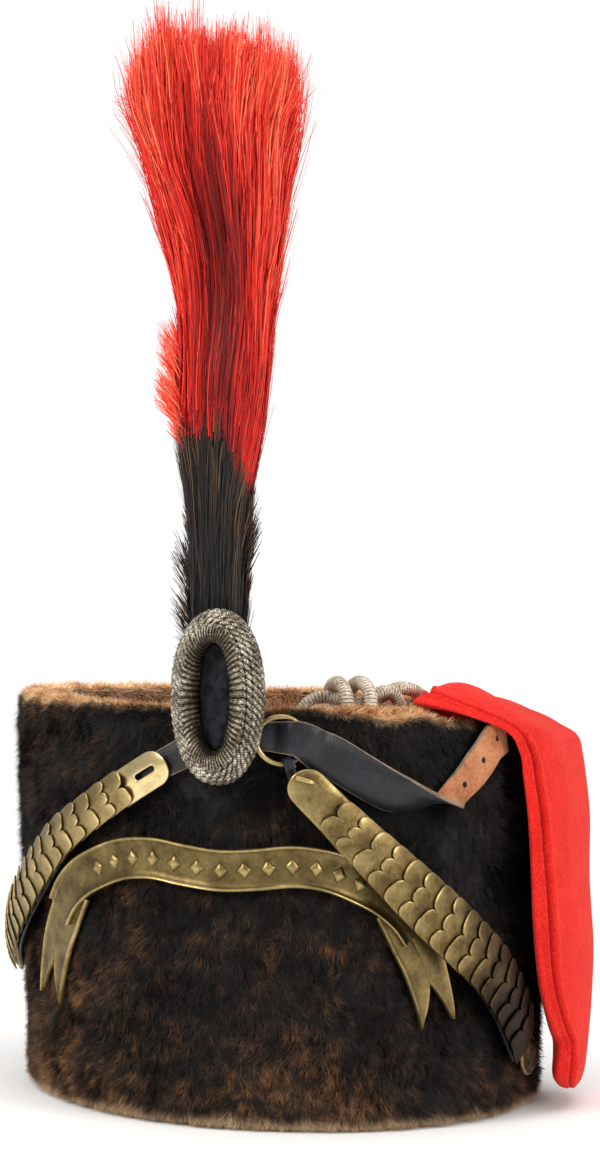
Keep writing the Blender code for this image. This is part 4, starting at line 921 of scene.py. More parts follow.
def make_bag():
    """The cloth pouch: a narrow front strip, a welted seam, and a main face that sags to its blunt tip."""
    table = []
    for inset, out, above, wide, thick in BAG_SECTIONS:
        rise = CROWN_EDGE + CROWN_RISE if inset > 0.9 else above * HAT_HEIGHT
        table.append((out * BAG_STAND_OFF - inset * BAG_ROOT, rise, above, wide, thick))
    reach_out, rise, above, wide, thick = smooth_line(table, BAG_ROWS).T
    sewn = 1 - step_up(reach_out, -0.94 * BAG_ROOT, -0.79 * BAG_ROOT)[:, None, None]
    way = np.stack([np.gradient(reach_out), np.gradient(rise)], axis=1)
    way /= np.linalg.norm(way, axis=1)[:, None]
    share = np.linspace(0, 1, BAG_ROWS)[:, None]
    wide, thick, above, reach_out = wide[:, None], thick[:, None], above[:, None], reach_out[:, None]
    turn = np.concatenate([np.linspace(*columns, endpoint=False) for columns in BAG_COLUMNS])[None, :]
    seam = table_value(SEAM_TURN, share)
    cos, sin = np.cos(turn), np.sin(turn)
    # The front edge stands in above the tip, and the toe below turns forward
    toe = 0.0026 * hump(share, 0.90, 0.020) - 0.0050 * hump(share, 0.962, 0.028)
    edge = np.maximum(cos, 0) * (0.0020 * step_up(share, 0.3, 0.4) + toe)
    arc = QUARTER - cos * wide * BAG_HALF_WIDTH + edge
    # Behind its front edge the bag is pressed flat where it crosses the rim
    pressed = step_up(share, 0.10, 0.18) * (1 - step_up(share, 0.30, 0.36)) * step_up(arc, 0.115, 0.15)
    half = thick * BAG_HALF_THICK * (1 - 0.35 * pressed)
    off_seam = (turn - seam) * np.hypot(np.sin(seam) * wide * BAG_HALF_WIDTH, np.cos(seam) * half)
    groove = hump(off_seam, 0, SEAM_HALF_WIDTH)
    relief = -SEAM_DEPTH * groove
    relief = relief + WELT_RISE * hump(np.abs(off_seam), WELT_PLACE, WELT_HALF_WIDTH)
    relief = relief * step_up(share, 0.09, 0.24) * (1 - 0.7 * step_up(share, 0.95, 1.0))
    outer = np.maximum(sin, 0)
    # Soft hollows where the cloth hangs, slanting pulls as it turns over the rim, and a puff behind the rim
    relief = relief + 0.0008 * np.sin(19 * share + 1.7 * cos) * outer * step_up(share, 0.4, 0.6)
    over_rim = step_up(share, 0.12, 0.3) - step_up(share, 0.38, 0.55)
    relief = relief + 0.0008 * np.sin(7 * turn + 4 * share) * outer * over_rim
    relief = relief + 0.0070 * hump(share, 0.19, 0.065) * hump(turn, 0.85, 0.55)
    # The front edge lies down on the rim
    reach = sin * half + relief - 0.0016 * hump(share, 0.20, 0.075) * hump(turn, 0, 0.55)
    rim_above_tip = rim_height(np.interp(arc, ARCS, ANGLES)) - BAG_TIP_HEIGHT
    height = BAG_TIP_HEIGHT + rim_above_tip * above - 0.0025 * pressed
    free = on_cap(arc, height + way[:, :1] * reach, reach_out - way[:, 1:] * reach)
    laid = on_cap(arc, CROWN_EDGE, reach_out)
    laid[..., 2] = crown_height(laid) + GAP + half + reach
    points = laid * sewn + free * (1 - sewn)
    # Inside the rim it lies on the crown and never in it
    resting = crown_height(points) + GAP + half + reach - 0.05 * step_up(reach_out, -1.8 * WALL, -WALL)
    points[..., 2] = np.where(reach_out < -WALL, np.maximum(points[..., 2], resting), points[..., 2])
    cloth = Bundle()
    # The seam's groove is marked to be painted darker, as shade
    seam_shade_mark = groove * step_up(share, 0.06, 0.16)
    cloth.loft(points, marks=seam_shade_mark[..., None] * (0.0, 0.0, 1.0))
    made = cloth.piece("bag_broadcloth", [BROADCLOTH], ["bag"], "red_cloth", smooth=80)


make_crown()
make_bag()


# Straps' routes and brass scales

LEATHER = 0.0016
STRAP_LIFT = 0.0006
STRAP_CLIMB = 0.0031
STRAP_MARGIN = 0.0014
STRAP_START = 0.002
# How far a strap goes on under its boss, as a share of BOSS_RADIUS
STRAP_UNDER_BOSS = 0.2
SCALE_COUNT = 16
SCALE_WIDTH = 0.0206
# A scale's length in pitches
SCALE_COVER = 1.62
SCALE_THICK = 0.0006
SCALE_ARCH = 0.0016
SCALE_LOBE = 0.0031
# How darkly a strap's scales are painted with shade at its tip and at its boss, where it turns away from the
# light and on the right lies in the bag's shadow
SCALE_SHADE = {"left": (0.0, 0.35), "right": (0.38, 1.7)}
SCALE_SEED = {"left": 31, "right": 32}
CAP_LENGTH = 0.0165
CAP_TUCK = 0.005
CAP_THICK = 0.0008
SLOT_PLACE = 0.0085
SLOT_LENGTH = 0.008
SLOT_WIDTH = 0.002
STUD_RADIUS = 0.0008
STUD_RISE = 0.0029
BOSS_RADIUS = 0.007
BOSS_HEIGHT = 0.003
# Share of its strap's painted shade at the boss that darkens the boss itself
BOSS_SHADE = 0.7
ROUTE_POINTS = 240
WIRE_SIDES = 14
# (share of the way from the front round to the side, share of HAT_HEIGHT)
LEFT_ROUTE = [(-0.103, 0.868), (-0.195, 0.799), (-0.300, 0.721), (-0.385, 0.659), (-0.461, 0.590),
              (-0.556, 0.511), (-0.652, 0.443), (-0.761, 0.382), (-0.906, 0.307)]
RIGHT_ROUTE = [(0.142, 0.854), (0.193, 0.789), (0.284, 0.682), (0.405, 0.554), (0.507, 0.461),
               (0.604, 0.379), (0.682, 0.296), (0.749, 0.211), (0.803, 0.146)]
# (share of the route's length, share of SCALE_WIDTH), and the right strap's climb over the scroll
LEFT_WIDTHS = [(0, 0.59), (0.22, 0.61), (0.38, 0.69), (0.58, 0.845), (1, 0.92)]
RIGHT_WIDTHS = [(0, 0.64), (0.14, 0.68), (0.28, 0.845), (0.43, 0.98), (1, 1)]
RIGHT_CLIMB = [(0, 0.85), (0.14, 1), (0.52, 1), (0.95, 0.1)]
# The stud's wire: share of SLOT_PLACE, millimetres aside, share of STUD_RISE
STUD_LINE = [(1.04, 2.3, 0.1), (1.01, 2.15, 0.55), (0.93, 1.75, 0.9), (0.73, 0.7, 1), (0.44, -0.8, 1)]
STUD_SHIFT = (-0.0028, 0.0002)
# A plate's section from under its root, round its free edge: (share of the way to its root, share of its
# thickness, how much that part is rubbed)
SCALE_EDGE = [(1, 0, 0), (0.03, 0, 0.3), (0.005, 0.15, 0.7), (0, 0.5, 1), (0.006, 0.85, 1.1),
              (0.03, 1.08, 0.9), (0.10, 1.16, 0.45), (0.28, 1.1, 0.15), (0.55, 1, 0), (1, 1, 0)]
# The end plate's section from its outline in to its slot, as shares of that way and of its thickness, and the
# boss's as shares of its radius and height, each with how much that part is rubbed
CAP_EDGE = [(0, 0, 0.3), (0, 0.6, 1), (0.03, 1, 0.9), (0.10, 1.1, 0.4), (0.4, 1.1, 0.1), (0.7, 1.1, 0.1),
            (0.93, 1.1, 0.3), (0.98, 1, 1), (1, 0.7, 0.8), (1, 0, 0), (0.5, 0, 0)]
BOSS_SECTION = [(1, 0, 0.9), (1, 0.12, 0.9), (0.97, 0.28, 0.9), (0.90, 0.30, 0.9), (0.84, 0.26, 0),
                (0.80, 0.44, 0), (0.74, 0.66, 0), (0.62, 0.84, 0), (0.46, 0.94, 0), (0.30, 0.985, 0.35),
                (0.14, 1, 0.35), (0.02, 1, 0.35)]


class Route:
    """A strap's middle line on the cap: place and width at a length from its tip."""

    def __init__(self, rows, reach, widths=None, climb=None):
        self.line = smooth_line([(arc * reach, height * HAT_HEIGHT) for arc, height in rows], ROUTE_POINTS)
        self.along = lengths_along(self.line)
        self.length = float(self.along[-1])
        self.widths = widths
        self.climb = climb

    def place(self, u, v=0.0):
        """(arc, height) at u along the middle line and v to its left."""
        u, v = np.broadcast_arrays(np.asarray(u, float), v)
        within = np.clip(u, 0.0, self.length)
        step = self.length / 200
        here, a, b = (np.stack([np.interp(w, self.along, self.line[:, k]) for k in (0, 1)], axis=-1)
                      for w in (within, within - step, within + step))
        way = (b - a) / np.linalg.norm(b - a, axis=-1)[..., None]
        leftward = np.stack([-way[..., 1], way[..., 0]], axis=-1)
        there = here + way * (u - within)[..., None] + leftward * v[..., None]
        return there[..., 0], there[..., 1]

    def width(self, u):
        """Width of the scales at u."""
        return table_value(self.widths, np.asarray(u) / self.length) * SCALE_WIDTH

    def lift(self, u):
        """Lift of the strap's underside from the fur."""
        if not self.climb:
            return STRAP_LIFT
        return STRAP_LIFT + table_value(self.climb, np.asarray(u) / self.length) * STRAP_CLIMB


LEFT = Route(LEFT_ROUTE, QUARTER, LEFT_WIDTHS)
RIGHT = Route(RIGHT_ROUTE, QUARTER, RIGHT_WIDTHS, RIGHT_CLIMB)


def scale_point(route, u, v, lift):
    """A point of the metal over a strap, arched across its width."""
    share = 2 * v / route.width(u)
    arch = SCALE_ARCH * (1 - np.minimum(share * share, 1.0))
    return on_cap(*route.place(u, v), route.lift(u) + LEATHER + GAP + lift + arch)


def put_plate(bundle, route, edge, root, lift, slope, dull):
    """A thin plate from its free edge, (u, v) for each point, to its root. The free edge stands higher."""
    start = edge[:, 0].min()
    aside = edge[:, 1] * route.width(root) / route.width(edge[0, 0])
    back = np.stack([np.full(len(edge), root), aside], axis=1)
    rings, marks = [], []
    for share, high, rubbed in SCALE_EDGE:
        spot = edge + (back - edge) * share
        raised = lift - slope * (spot[:, 0] - start) + high * SCALE_THICK
        rings.append(scale_point(route, spot[:, 0], spot[:, 1], raised))
        # dull is painted shade: it darkens the plate and dims its rubbed edges
        marks.append(wear_and_light_marks(np.full(len(edge), rubbed * max(0.45, 1 - 0.5 * dull) - dull)))
    rings = np.array(rings)
    rows, columns = rings.shape[:2]
    last = (rows - 1) * columns
    faces = grid_faces(rows, columns)
    faces += [[j, j + 1, last + j + 1, last + j] for j in range(columns - 1)]
    faces += [[i * columns + j for i in range(rows)] for j in (0, columns - 1)]
    bundle.put(rings, faces, marks)


def make_scales(side, route):
    """Overlapping scales, each lying on the next one toward the tip, with two and three lobes in turn."""
    room = route.length - BOSS_RADIUS - 2 * GAP - CAP_LENGTH
    pitch = room / (SCALE_COUNT - 1 + SCALE_COVER)
    length = pitch * SCALE_COVER
    slope = (SCALE_THICK + GAP) / pitch
    free = max(slope * length + 2 * GAP, CAP_THICK + GAP)
    rng = np.random.default_rng(SCALE_SEED[side])
    tip_shade, boss_shade = SCALE_SHADE[side]
    t = np.linspace(0, math.pi, 15)
    for number in range(SCALE_COUNT):
        start = CAP_LENGTH + number * pitch
        lobes = 2 + number % 2
        half = route.width(start) / 2
        edge = []
        for lobe in range(lobes):
            v = -half + (lobe + 0.5 - 0.5 * np.cos(t)) * 2 * half / lobes
            spot = np.stack([start + SCALE_LOBE * (1 - np.sin(t) ** 0.8), v], axis=1)
            edge.append(spot if lobe == 0 else spot[1:])
        tilt = 1 + rng.uniform(-0.03, 0.03)
        # The scales are painted darker from the tip to the boss, as shade where the strap turns away from the
        # light
        dull = tip_shade + (boss_shade - tip_shade) * float(step_up(number / SCALE_COUNT, 0.35, 1.0))
        name = f"scale_{side}_{number + 1:02d}"
        scale = Bundle()
        put_plate(scale, route, np.vstack(edge), start + length, free, slope * tilt, dull)
        scale.piece("brass_" + name, [SCALE_BRASS], [name], "brass", smooth=50)


def stud_place(row):
    """(u, v) of a row of STUD_LINE."""
    return row[0] * SLOT_PLACE + STUD_SHIFT[0], row[1] * MM + STUD_SHIFT[1]


def make_end_cap(side, route):
    """The long plate at a strap's tip: the left has a round-ended slot, and the right a bent wire stud."""
    half = float(route.width(0)) / 2
    end = CAP_LENGTH + CAP_TUCK
    t = np.linspace(0, math.pi, 25)
    tip = np.stack([half * (1 - np.sin(t)), -half * np.cos(t)], axis=1)
    side_u = np.linspace(0.0, 1.0, 10)[1:] * (end - half) + half
    far = route.width(side_u) / 2 * (half / (float(route.width(half)) / 2))
    outline = np.vstack([tip, np.stack([side_u, far], axis=1), np.stack([side_u, -far], axis=1)[::-1]])
    middle = np.array([SLOT_PLACE, 0.0])
    slot_half, slot_radius = (SLOT_LENGTH - SLOT_WIDTH) / 2, SLOT_WIDTH / 2
    # The left plate is painted lighter, as a highlight
    painted_light_level = 1.1
    if side == "right":
        # The stud's foot covers what is left of the slot
        middle = np.array(stud_place(STUD_LINE[0]))
        slot_half, slot_radius = 0.0002, 0.0001
        # The right plate is painted as dark as its strap's tip, as shade
        painted_light_level = -SCALE_SHADE[side][0]
    away = outline - middle
    turn = np.arctan2(away[:, 1], away[:, 0])
    straight = np.sign(np.cos(turn)) * slot_half * np.minimum(1, 4 * np.abs(np.cos(turn)))
    hole = middle + np.stack([straight + slot_radius * np.cos(turn), slot_radius * np.sin(turn)], axis=1)
    cap = Bundle()
    rings, marks = [], []
    for share, high, rubbed in CAP_EDGE:
        spot = outline + (hole - outline) * share
        rings.append(scale_point(route, spot[:, 0], spot[:, 1], high * CAP_THICK))
        marks.append(wear_and_light_marks(np.full(len(outline), rubbed + painted_light_level)))
    cap.loft(rings, closed=True, marks=marks)
    if side == "right":
        line = [scale_point(route, *stud_place(row), row[2] * STUD_RISE) for row in STUD_LINE]
        line, _ = refined(smooth_line(line, 30), 0.0004)
        radius = STUD_RADIUS * np.where(np.arange(len(line)) < len(line) - 1, 1.0, 0.8)
        cap.loft(tube(line, radius, WIRE_SIDES), marks=np.full((len(line) * WIRE_SIDES, 3), 0.7))
    cap.piece(f"brass_end_cap_{side}", [SCALE_BRASS], [f"end_cap_{side}"], "brass", smooth=50)


def make_boss(side, route):
    """A low stamped boss over the strap's sewn end, with a rolled edge and a ring round its dome."""
    arc, height = route.place(route.length)
    base = float(route.lift(route.length)) + LEATHER + GAP
    turn = circle(56)
    boss = Bundle()
    rings, marks = [], []
    for share, lift, rubbed in BOSS_SECTION:
        across, up = share * BOSS_RADIUS * np.cos(turn), share * BOSS_RADIUS * np.sin(turn)
        rings.append(on_cap(arc + across, height + up, base + lift * BOSS_HEIGHT))
        # The boss is painted darker with its strap's shade
        marks.append(wear_and_light_marks(np.full(len(turn), rubbed - BOSS_SHADE * SCALE_SHADE[side][1])))
    boss.loft(rings, marks=marks)
    boss.piece(f"brass_boss_{side}", [SCALE_BRASS], [f"boss_{side}"], "brass", smooth=60)


for side, route in (("left", LEFT), ("right", RIGHT)):
    make_scales(side, route)
    make_end_cap(side, route)
    make_boss(side, route)


# Leather straps and their ring

FREE_STRAP_WIDTH = 0.0142
HOLE_RADIUS = 0.0011
RING_ARC = 0.120
RING_HEIGHT = 0.929
RING_RADIUS = 0.0078
RING_WIRE = 0.00085
RING_LIFT = 0.0031
RING_TILT = 0.2
TAB_WIDTH = 0.0036
TAB_THICK = 0.0008
TAB_START = 0.008
TAB_ASIDE = -0.0042
# Free end of the left strap: share of the way round to the side, share of HAT_HEIGHT, share of RING_LIFT that
# its lower edge stands above STRAP_LIFT, and its turn about its own length in degrees
FREE_END = [(-0.103, 0.868, 0, 0), (-0.054, 0.897, 0, 0), (0.006, 0.921, 0, 0), (0.060, 0.933, 0, 0),
            (0.098, 0.936, 0, 0), (0.109, 0.936, 0.10, 0), (0.122, 0.936, 0.62, 0), (0.136, 0.936, 1.02, 0),
            (0.150, 0.935, 1.02, 0), (0.168, 0.926, 0.92, 0), (0.177, 0.919, 0.68, 0), (0.195, 0.907, 0.1, 0),
            (0.230, 0.887, 0, 2), (0.290, 0.845, 0, 14), (0.344, 0.812, 0, 30), (0.392, 0.798, 0, 55),
            (0.430, 0.795, 0, 78), (0.456, 0.798, 0, 100), (0.476, 0.804, 0, 128), (0.494, 0.811, 0, 156),
            (0.510, 0.820, 0, 174), (0.528, 0.834, 0, 180), (0.583, 0.889, 0, 180), (0.620, 0.931, 0, 180),
            (0.674, 0.953, -0.45, 180)]
FREE_WIDTHS = [(0, 0.79), (0.09, 0.65), (0.23, 0.65), (0.38, 1), (0.57, 1), (0.70, 0.74), (0.76, 0.76),
               (0.84, 0.97), (0.95, 1), (1, 1)]
STRAP_HOLES = [(0.5265, 0.831), (0.583, 0.889), (0.6285, 0.941)]
CHAMFER = 0.00035
BACKING_RINGS = 70
FREE_RINGS = 220
# The first ring of the free end that stands clear of the leather under the scales
FREE_START = 9
RING_POINTS = 96


def strap_section(corners, across, thick):
    """A strap's section with chamfered edges, from its corners: right, left below, left, right above."""
    a, b = CHAMFER / across, CHAMFER / thick
    low_right, low_left, high_left, high_right = corners
    ring = []
    for s, f in ((a, 0), (0.35, 0), (0.65, 0), (1 - a, 0), (1, b), (1, 1 - b),
                 (1 - a, 1), (0.65, 1.02), (0.35, 1.02), (a, 1), (0, 1 - b), (0, b)):
        low = low_right + (low_left - low_right) * s
        high = high_right + (high_left - high_right) * s
        ring.append(low + (high - low) * f)
    return ring


# Which face of the section is which side: 0 grain, 1 flesh, 2 cut edge
SECTION_SIDES = [1, 1, 1, 2, 2, 2, 0, 0, 0, 2, 2, 2]


def strap_piece(bundle, name, stands_for):
    """A strap's piece. Its cut edges take the black grain finish where it backs the scales, as painted shade
    under them, and its tab is black.
    """
    # Under the scales the cut edges take the black grain finish: painted shade of the scales' overhang
    dyed = [0 if side == 2 else side for side in SECTION_SIDES]
    sides = []
    for number, points in enumerate(bundle.points):
        rows = len(points) // len(SECTION_SIDES)
        if number == 0:
            sides += dyed * (BACKING_RINGS - 1) + SECTION_SIDES * (rows - BACKING_RINGS) + [2, 2]
        else:
            sides += [0] * len(SECTION_SIDES) * (rows - 1) + [2, 2]
    return bundle.piece(name, [GRAIN_LEATHER, FLESH_LEATHER, CUT_LEATHER], [stands_for], "dark_leather",
                        indices=sides, smooth=50)


def backing_rings(route, end):
    """Sections of the leather that backs the scales, a little narrower than they are."""
    rings = []
    for u in np.linspace(route.length + BOSS_RADIUS * STRAP_UNDER_BOSS, end, BACKING_RINGS):
        width = float(route.width(u)) - 2 * STRAP_MARGIN
        width *= 1 - 0.7 * float(step_up(u, route.length - BOSS_RADIUS, route.length))
        base = float(route.lift(u))
        corners = [on_cap(*route.place(u, v * width / 2), base + high * LEATHER)
                   for v, high in ((-1, 0), (1, 0), (1, 1), (-1, 1))]
        rings.append(strap_section(corners, width, LEATHER))
    return rings


def free_rings():
    """Sections of the left strap past its scales: behind the badge, through the ring and turned over."""
    table = [(arc * QUARTER, height * HAT_HEIGHT, lift, turn) for arc, height, lift, turn in FREE_END]
    rows = smooth_line(table, FREE_RINGS)
    last = FREE_RINGS - 1
    rings = []
    for i in range(FREE_START, FREE_RINGS):
        arc, height, lift, turn = rows[i]
        way = rows[min(i + 1, last), :2] - rows[i - 1, :2]
        way /= np.linalg.norm(way)
        width = float(table_value(FREE_WIDTHS, i / last)) * FREE_STRAP_WIDTH
        turn = math.radians(turn)
        here = on_cap(arc, height)
        out = on_cap(arc, height, 1.0) - here
        ahead = on_cap(arc + way[0] * MM, height + way[1] * MM) - here
        ahead /= np.linalg.norm(ahead)
        left = np.cross(out, ahead)
        left /= np.linalg.norm(left)
        across = left * math.cos(turn) + out * math.sin(turn)
        face = out * math.cos(turn) - left * math.sin(turn)
        base = STRAP_LIFT + lift * RING_LIFT
        rise = base + abs(math.sin(turn)) * width / 2 + abs(math.cos(turn)) * LEATHER / 2
        middle = on_cap(arc, height, rise)
        corners = [middle + across * (a * width / 2) + face * (b * LEATHER / 2)
                   for a, b in ((1, -1), (-1, -1), (-1, 1), (1, 1))]
        rings.append(strap_section(corners, width, LEATHER))
    return rings


def punch_holes(strap):
    """Cuts the buckle holes through the strap's end."""
    turn = circle(20)
    punches = Bundle()
    for arc, height in STRAP_HOLES:
        across = arc * QUARTER + HOLE_RADIUS * np.cos(turn)
        up = height * HAT_HEIGHT + HOLE_RADIUS * np.sin(turn)
        punches.loft([on_cap(across, up, lift) for lift in (-STRAP_LIFT, 4 * LEATHER)])
    mesh = new_mesh("punches", np.vstack(punches.points), punches.faces, [CUT_LEATHER])
    turn_faces_out(mesh)
    cutter = show("punches", mesh)
    cut = strap.modifiers.new("holes", "BOOLEAN")
    cut.operation = "DIFFERENCE"
    cut.solver = "EXACT"
    cut.material_mode = "TRANSFER"
    cut.object = cutter
    graph = bpy.context.evaluated_depsgraph_get()
    bpy.context.view_layer.update()
    done = bpy.data.meshes.new_from_object(strap.evaluated_get(graph))
    strap.modifiers.remove(cut)
    strap.data = done
    bpy.data.objects.remove(cutter)


def make_strap_left():
    """The long strap: it backs the left scales, and its free end runs through the ring to its holes."""
    strap = Bundle()
    strap.loft(backing_rings(LEFT, STRAP_START) + free_rings())
    punch_holes(strap_piece(strap, "leather_strap_left", "strap_left"))


def make_strap_right():
    """The strap that backs the right scales. A narrow tab at its tip goes round the ring's wire and back."""
    strap = Bundle()
    strap.loft(backing_rings(RIGHT, TAB_START - TAB_THICK))
    root = np.array(RIGHT.place(TAB_START, TAB_ASIDE))
    ring_middle = np.array([RING_ARC * QUARTER, RING_HEIGHT * HAT_HEIGHT])
    distance = float(np.linalg.norm(ring_middle - root))
    way = (ring_middle - root) / distance
    reach = distance - RING_RADIUS + GAP / 2
    centre = RING_LIFT + RING_TILT * way[0] * RING_RADIUS
    bend = RING_WIRE + 2 * GAP + TAB_THICK / 2
    line = [(0.0, float(RIGHT.lift(TAB_START)) + LEATHER / 2), (reach - 2 * bend, centre - bend)]
    line += [(reach + bend * math.sin(t), centre - bend * math.cos(t)) for t in np.linspace(0, math.pi, 13)]
    line.append((reach - bend, centre + bend))
    rings = []
    for i, (far, lift) in enumerate(line):
        a, b = np.array(line[max(i - 1, 0)]), np.array(line[min(i + 1, len(line) - 1)])
        step = (b - a) / np.linalg.norm(b - a)
        corners = []
        for side, face in ((-1, -1), (1, -1), (1, 1), (-1, 1)):
            f = far - step[1] * face * TAB_THICK / 2
            corners.append(on_cap(root[0] + way[0] * f - way[1] * side * TAB_WIDTH / 2,
                                  root[1] + way[1] * f + way[0] * side * TAB_WIDTH / 2,
                                  lift + step[0] * face * TAB_THICK / 2))
        rings.append(strap_section(corners, TAB_WIDTH, TAB_THICK))
    strap.loft(rings)
    strap_piece(strap, "leather_strap_right", "strap_right")


def make_ring():
    """The brass wire ring, tilted so that the strap goes under its inner side and over its outer side."""
    turn = circle(RING_POINTS)
    across = RING_RADIUS * np.cos(turn)
    line = on_cap(RING_ARC * QUARTER + across, RING_HEIGHT * HAT_HEIGHT + RING_RADIUS * np.sin(turn),
                  RING_LIFT - RING_TILT * across)
    ring = Bundle()
    rings = tube(line, RING_WIRE, WIRE_SIDES, closed=True)
    ring.loft(rings, closed=True, marks=np.full((RING_POINTS * WIRE_SIDES, 3), 0.45))
    ring.piece("brass_wire_ring", [SCALE_BRASS], ["strap_ring"], "brass", smooth=80)


make_strap_left()
make_strap_right()
make_ring()


# Scroll plate

SCROLL_HALF_LENGTH = 0.063
SCROLL_WIDTH = 0.014
SCROLL_THICK = 0.001
SCROLL_BEAD = 0.001
SCROLL_LIFT = 0.001
TAIL_LIFT = 0.0004
TAIL_HALF_WIDTH = 0.0078
TAIL_NOTCH = 0.015
ORNAMENT_COUNT = 13
ORNAMENT_PITCH = 0.0078
ORNAMENT_SIZE = 0.0026
ORNAMENT_RISE = 0.0007
# (share of SCROLL_HALF_LENGTH from the front, share of HAT_HEIGHT)
SCROLL_ROUTE = [(0, 0.616), (0.19, 0.623), (0.38, 0.633), (0.57, 0.623), (0.76, 0.590), (0.89, 0.559),
                (1, 0.519), (1.075, 0.476)]
TAIL_ROUTE = [(0.92, 0.543), (1.03, 0.471), (1.135, 0.393), (1.206, 0.307), (1.23, 0.254)]
TAIL_WIDTHS = [(0, 0.95), (0.3, 1.1), (0.6, 1.12), (1, 0.98)]
# Section of the band: share of its half width, of SCROLL_THICK, of SCROLL_BEAD, and how much it is rubbed
SCROLL_EDGE = [(1.01, 0.7, 0.3, 0.6), (0.985, 1, 0.8, 0.9), (0.93, 1, 1.05, 1), (0.87, 1, 0.9, 0.8),
               (0.81, 1, 0.4, 0.3), (0.77, 1, 0.05, 0), (0.5, 1, -0.1, 0)]
SCROLL_SECTION = ([(-1, 0, 0, 0), (0, 0, 0, 0), (1, 0, 0, 0)] + SCROLL_EDGE + [(0, 1, -0.15, 0.1)]
                  + [(-across, *rest) for across, *rest in SCROLL_EDGE[::-1]])
# Section of half a tail, from its middle to its edge and back below: share of its width, of SCROLL_THICK,
# what an open notch adds, how much that part is rubbed, and what the notch adds to that
TAIL_SECTION = [(0, 0.9, -0.3, 0.1, 0.7), (0.06, 1, 0.3, 0.1, 0.7), (0.3, 1, 0, 0.1, 0), (0.6, 1, 0, 0.1, 0),
                (0.8, 1.05, 0, 0.3, 0), (0.92, 1.7, 0, 1, 0), (1, 1, 0, 0.8, 0), (1, 0, 0, 0.3, 0),
                (0.5, 0, 0, 0, 0), (0, 0, 0, 0, 0)]
# A lozenge's section: share of its size, height over the band, and how much that part is rubbed
LOZENGE_SECTION = [(1, -SCROLL_THICK / 2, 0), (1, -0.0001, 0.2), (0.82, 0.6 * ORNAMENT_RISE, 0.5),
                   (0.35, ORNAMENT_RISE, 1), (0.04, 1.15 * ORNAMENT_RISE, 1)]


def put_tail(plate, side, edge):
    """One half of a swallow tail, on one side of its notch."""
    tail = Route([(side * arc, height) for arc, height in TAIL_ROUTE], SCROLL_HALF_LENGTH)
    notch = tail.length - TAIL_NOTCH
    place, high, high_open, rub, rub_open = np.array(TAIL_SECTION).T
    rings, marks = [], []
    for u in np.linspace(0.0, tail.length, 60):
        past = max(0.0, (u - notch) / TAIL_NOTCH)
        wide = table_value(TAIL_WIDTHS, u / tail.length)
        inner = -0.02 + 0.92 * past ** 1.15
        spot = inner + (wide - inner) * place
        notched = min(1.0, past * 6)
        lift = TAIL_LIFT + (high + high_open * notched) * SCROLL_THICK
        rings.append(on_cap(*tail.place(u, edge * spot * TAIL_HALF_WIDTH), lift))
        marks.append(wear_and_light_marks(rub + rub_open * notched))
    plate.loft(rings, marks=marks)


def put_lozenge(plate, band, u):
    """One plain raised lozenge on the band."""
    turn = circle(16)
    shape = 1 / (np.abs(np.cos(turn)) + np.abs(np.sin(turn)) / 1.15)
    rings, marks = [], []
    for size, lift, rub in LOZENGE_SECTION:
        along = shape * np.cos(turn) * size * ORNAMENT_SIZE
        across = shape * np.sin(turn) * size * ORNAMENT_SIZE
        rings.append(on_cap(*band.place(u + along, across), SCROLL_LIFT + SCROLL_THICK + lift))
        marks.append(wear_and_light_marks(np.full(len(turn), rub)))
    plate.loft(rings, marks=marks)


def make_scroll():
    """The stamped scroll: a band with rolled edges and plain lozenges, folded ends and swallow tails."""
    half = SCROLL_WIDTH / 2
    band = Route([(-arc, height) for arc, height in SCROLL_ROUTE[:0:-1]] + SCROLL_ROUTE, SCROLL_HALF_LENGTH)
    v, thick, bead, rubbed = np.array(SCROLL_SECTION).T
    lift = SCROLL_LIFT + thick * SCROLL_THICK + bead * SCROLL_BEAD
    rings = [on_cap(*band.place(u, v * half), lift) for u in np.linspace(0, band.length, 170)]
    plate = Bundle()
    plate.loft(rings, marks=[wear_and_light_marks(rubbed)] * len(rings))
    for side in (-1, 1):
        for edge in (-1, 1):
            put_tail(plate, side, edge)
    for number in range(ORNAMENT_COUNT):
        put_lozenge(plate, band, band.length / 2 + (number - (ORNAMENT_COUNT - 1) / 2) * ORNAMENT_PITCH)
    plate.piece("brass_scroll", [SCROLL_BRASS], ["scroll_plate"], "brass", smooth=50)


make_scroll()


# Cap cord

CORD_RADIUS = 0.0023
CORD_INSET = 0.022
CORD_RISE = 0.013
TURN_HALF_WIDTH = 0.0086
TURN_HALF_HEIGHT = 0.0078
# Share of the way round to the side, share of CORD_INSET in from the fur, and of CORD_RISE above the crown
LONG_CORD = [(0.122, 1.24, 0), (0.150, 1.22, 0), (0.168, 1.20, 0.28), (0.192, 1.18, 0.76),
             (0.220, 1.16, 1), (0.250, 1.15, 1.08), (0.285, 1.15, 1.02), (0.320, 1.16, 0.90),
             (0.360, 1.17, 0.86), (0.400, 1.17, 0.98), (0.440, 1.17, 1.18), (0.480, 1.16, 1.32),
             (0.520, 1.15, 1.34), (0.560, 1.15, 1.22), (0.595, 1.16, 0.98), (0.628, 1.18, 0.55),
             (0.650, 1.20, 0.15), (0.668, 1.22, 0), (0.690, 1.24, 0)]
SHORT_CORD = [(0.130, 0.96, 0), (0.160, 0.95, 0), (0.182, 0.94, 0.35), (0.210, 0.93, 0.7),
              (0.240, 0.93, 0.8), (0.275, 0.93, 0.76), (0.310, 0.93, 0.78), (0.345, 0.93, 0.95),
              (0.380, 0.93, 1.2), (0.415, 0.93, 1.32), (0.445, 0.93, 1.2), (0.470, 0.94, 0.8),
              (0.488, 0.95, 0.25), (0.505, 0.96, 0), (0.530, 0.98, 0)]
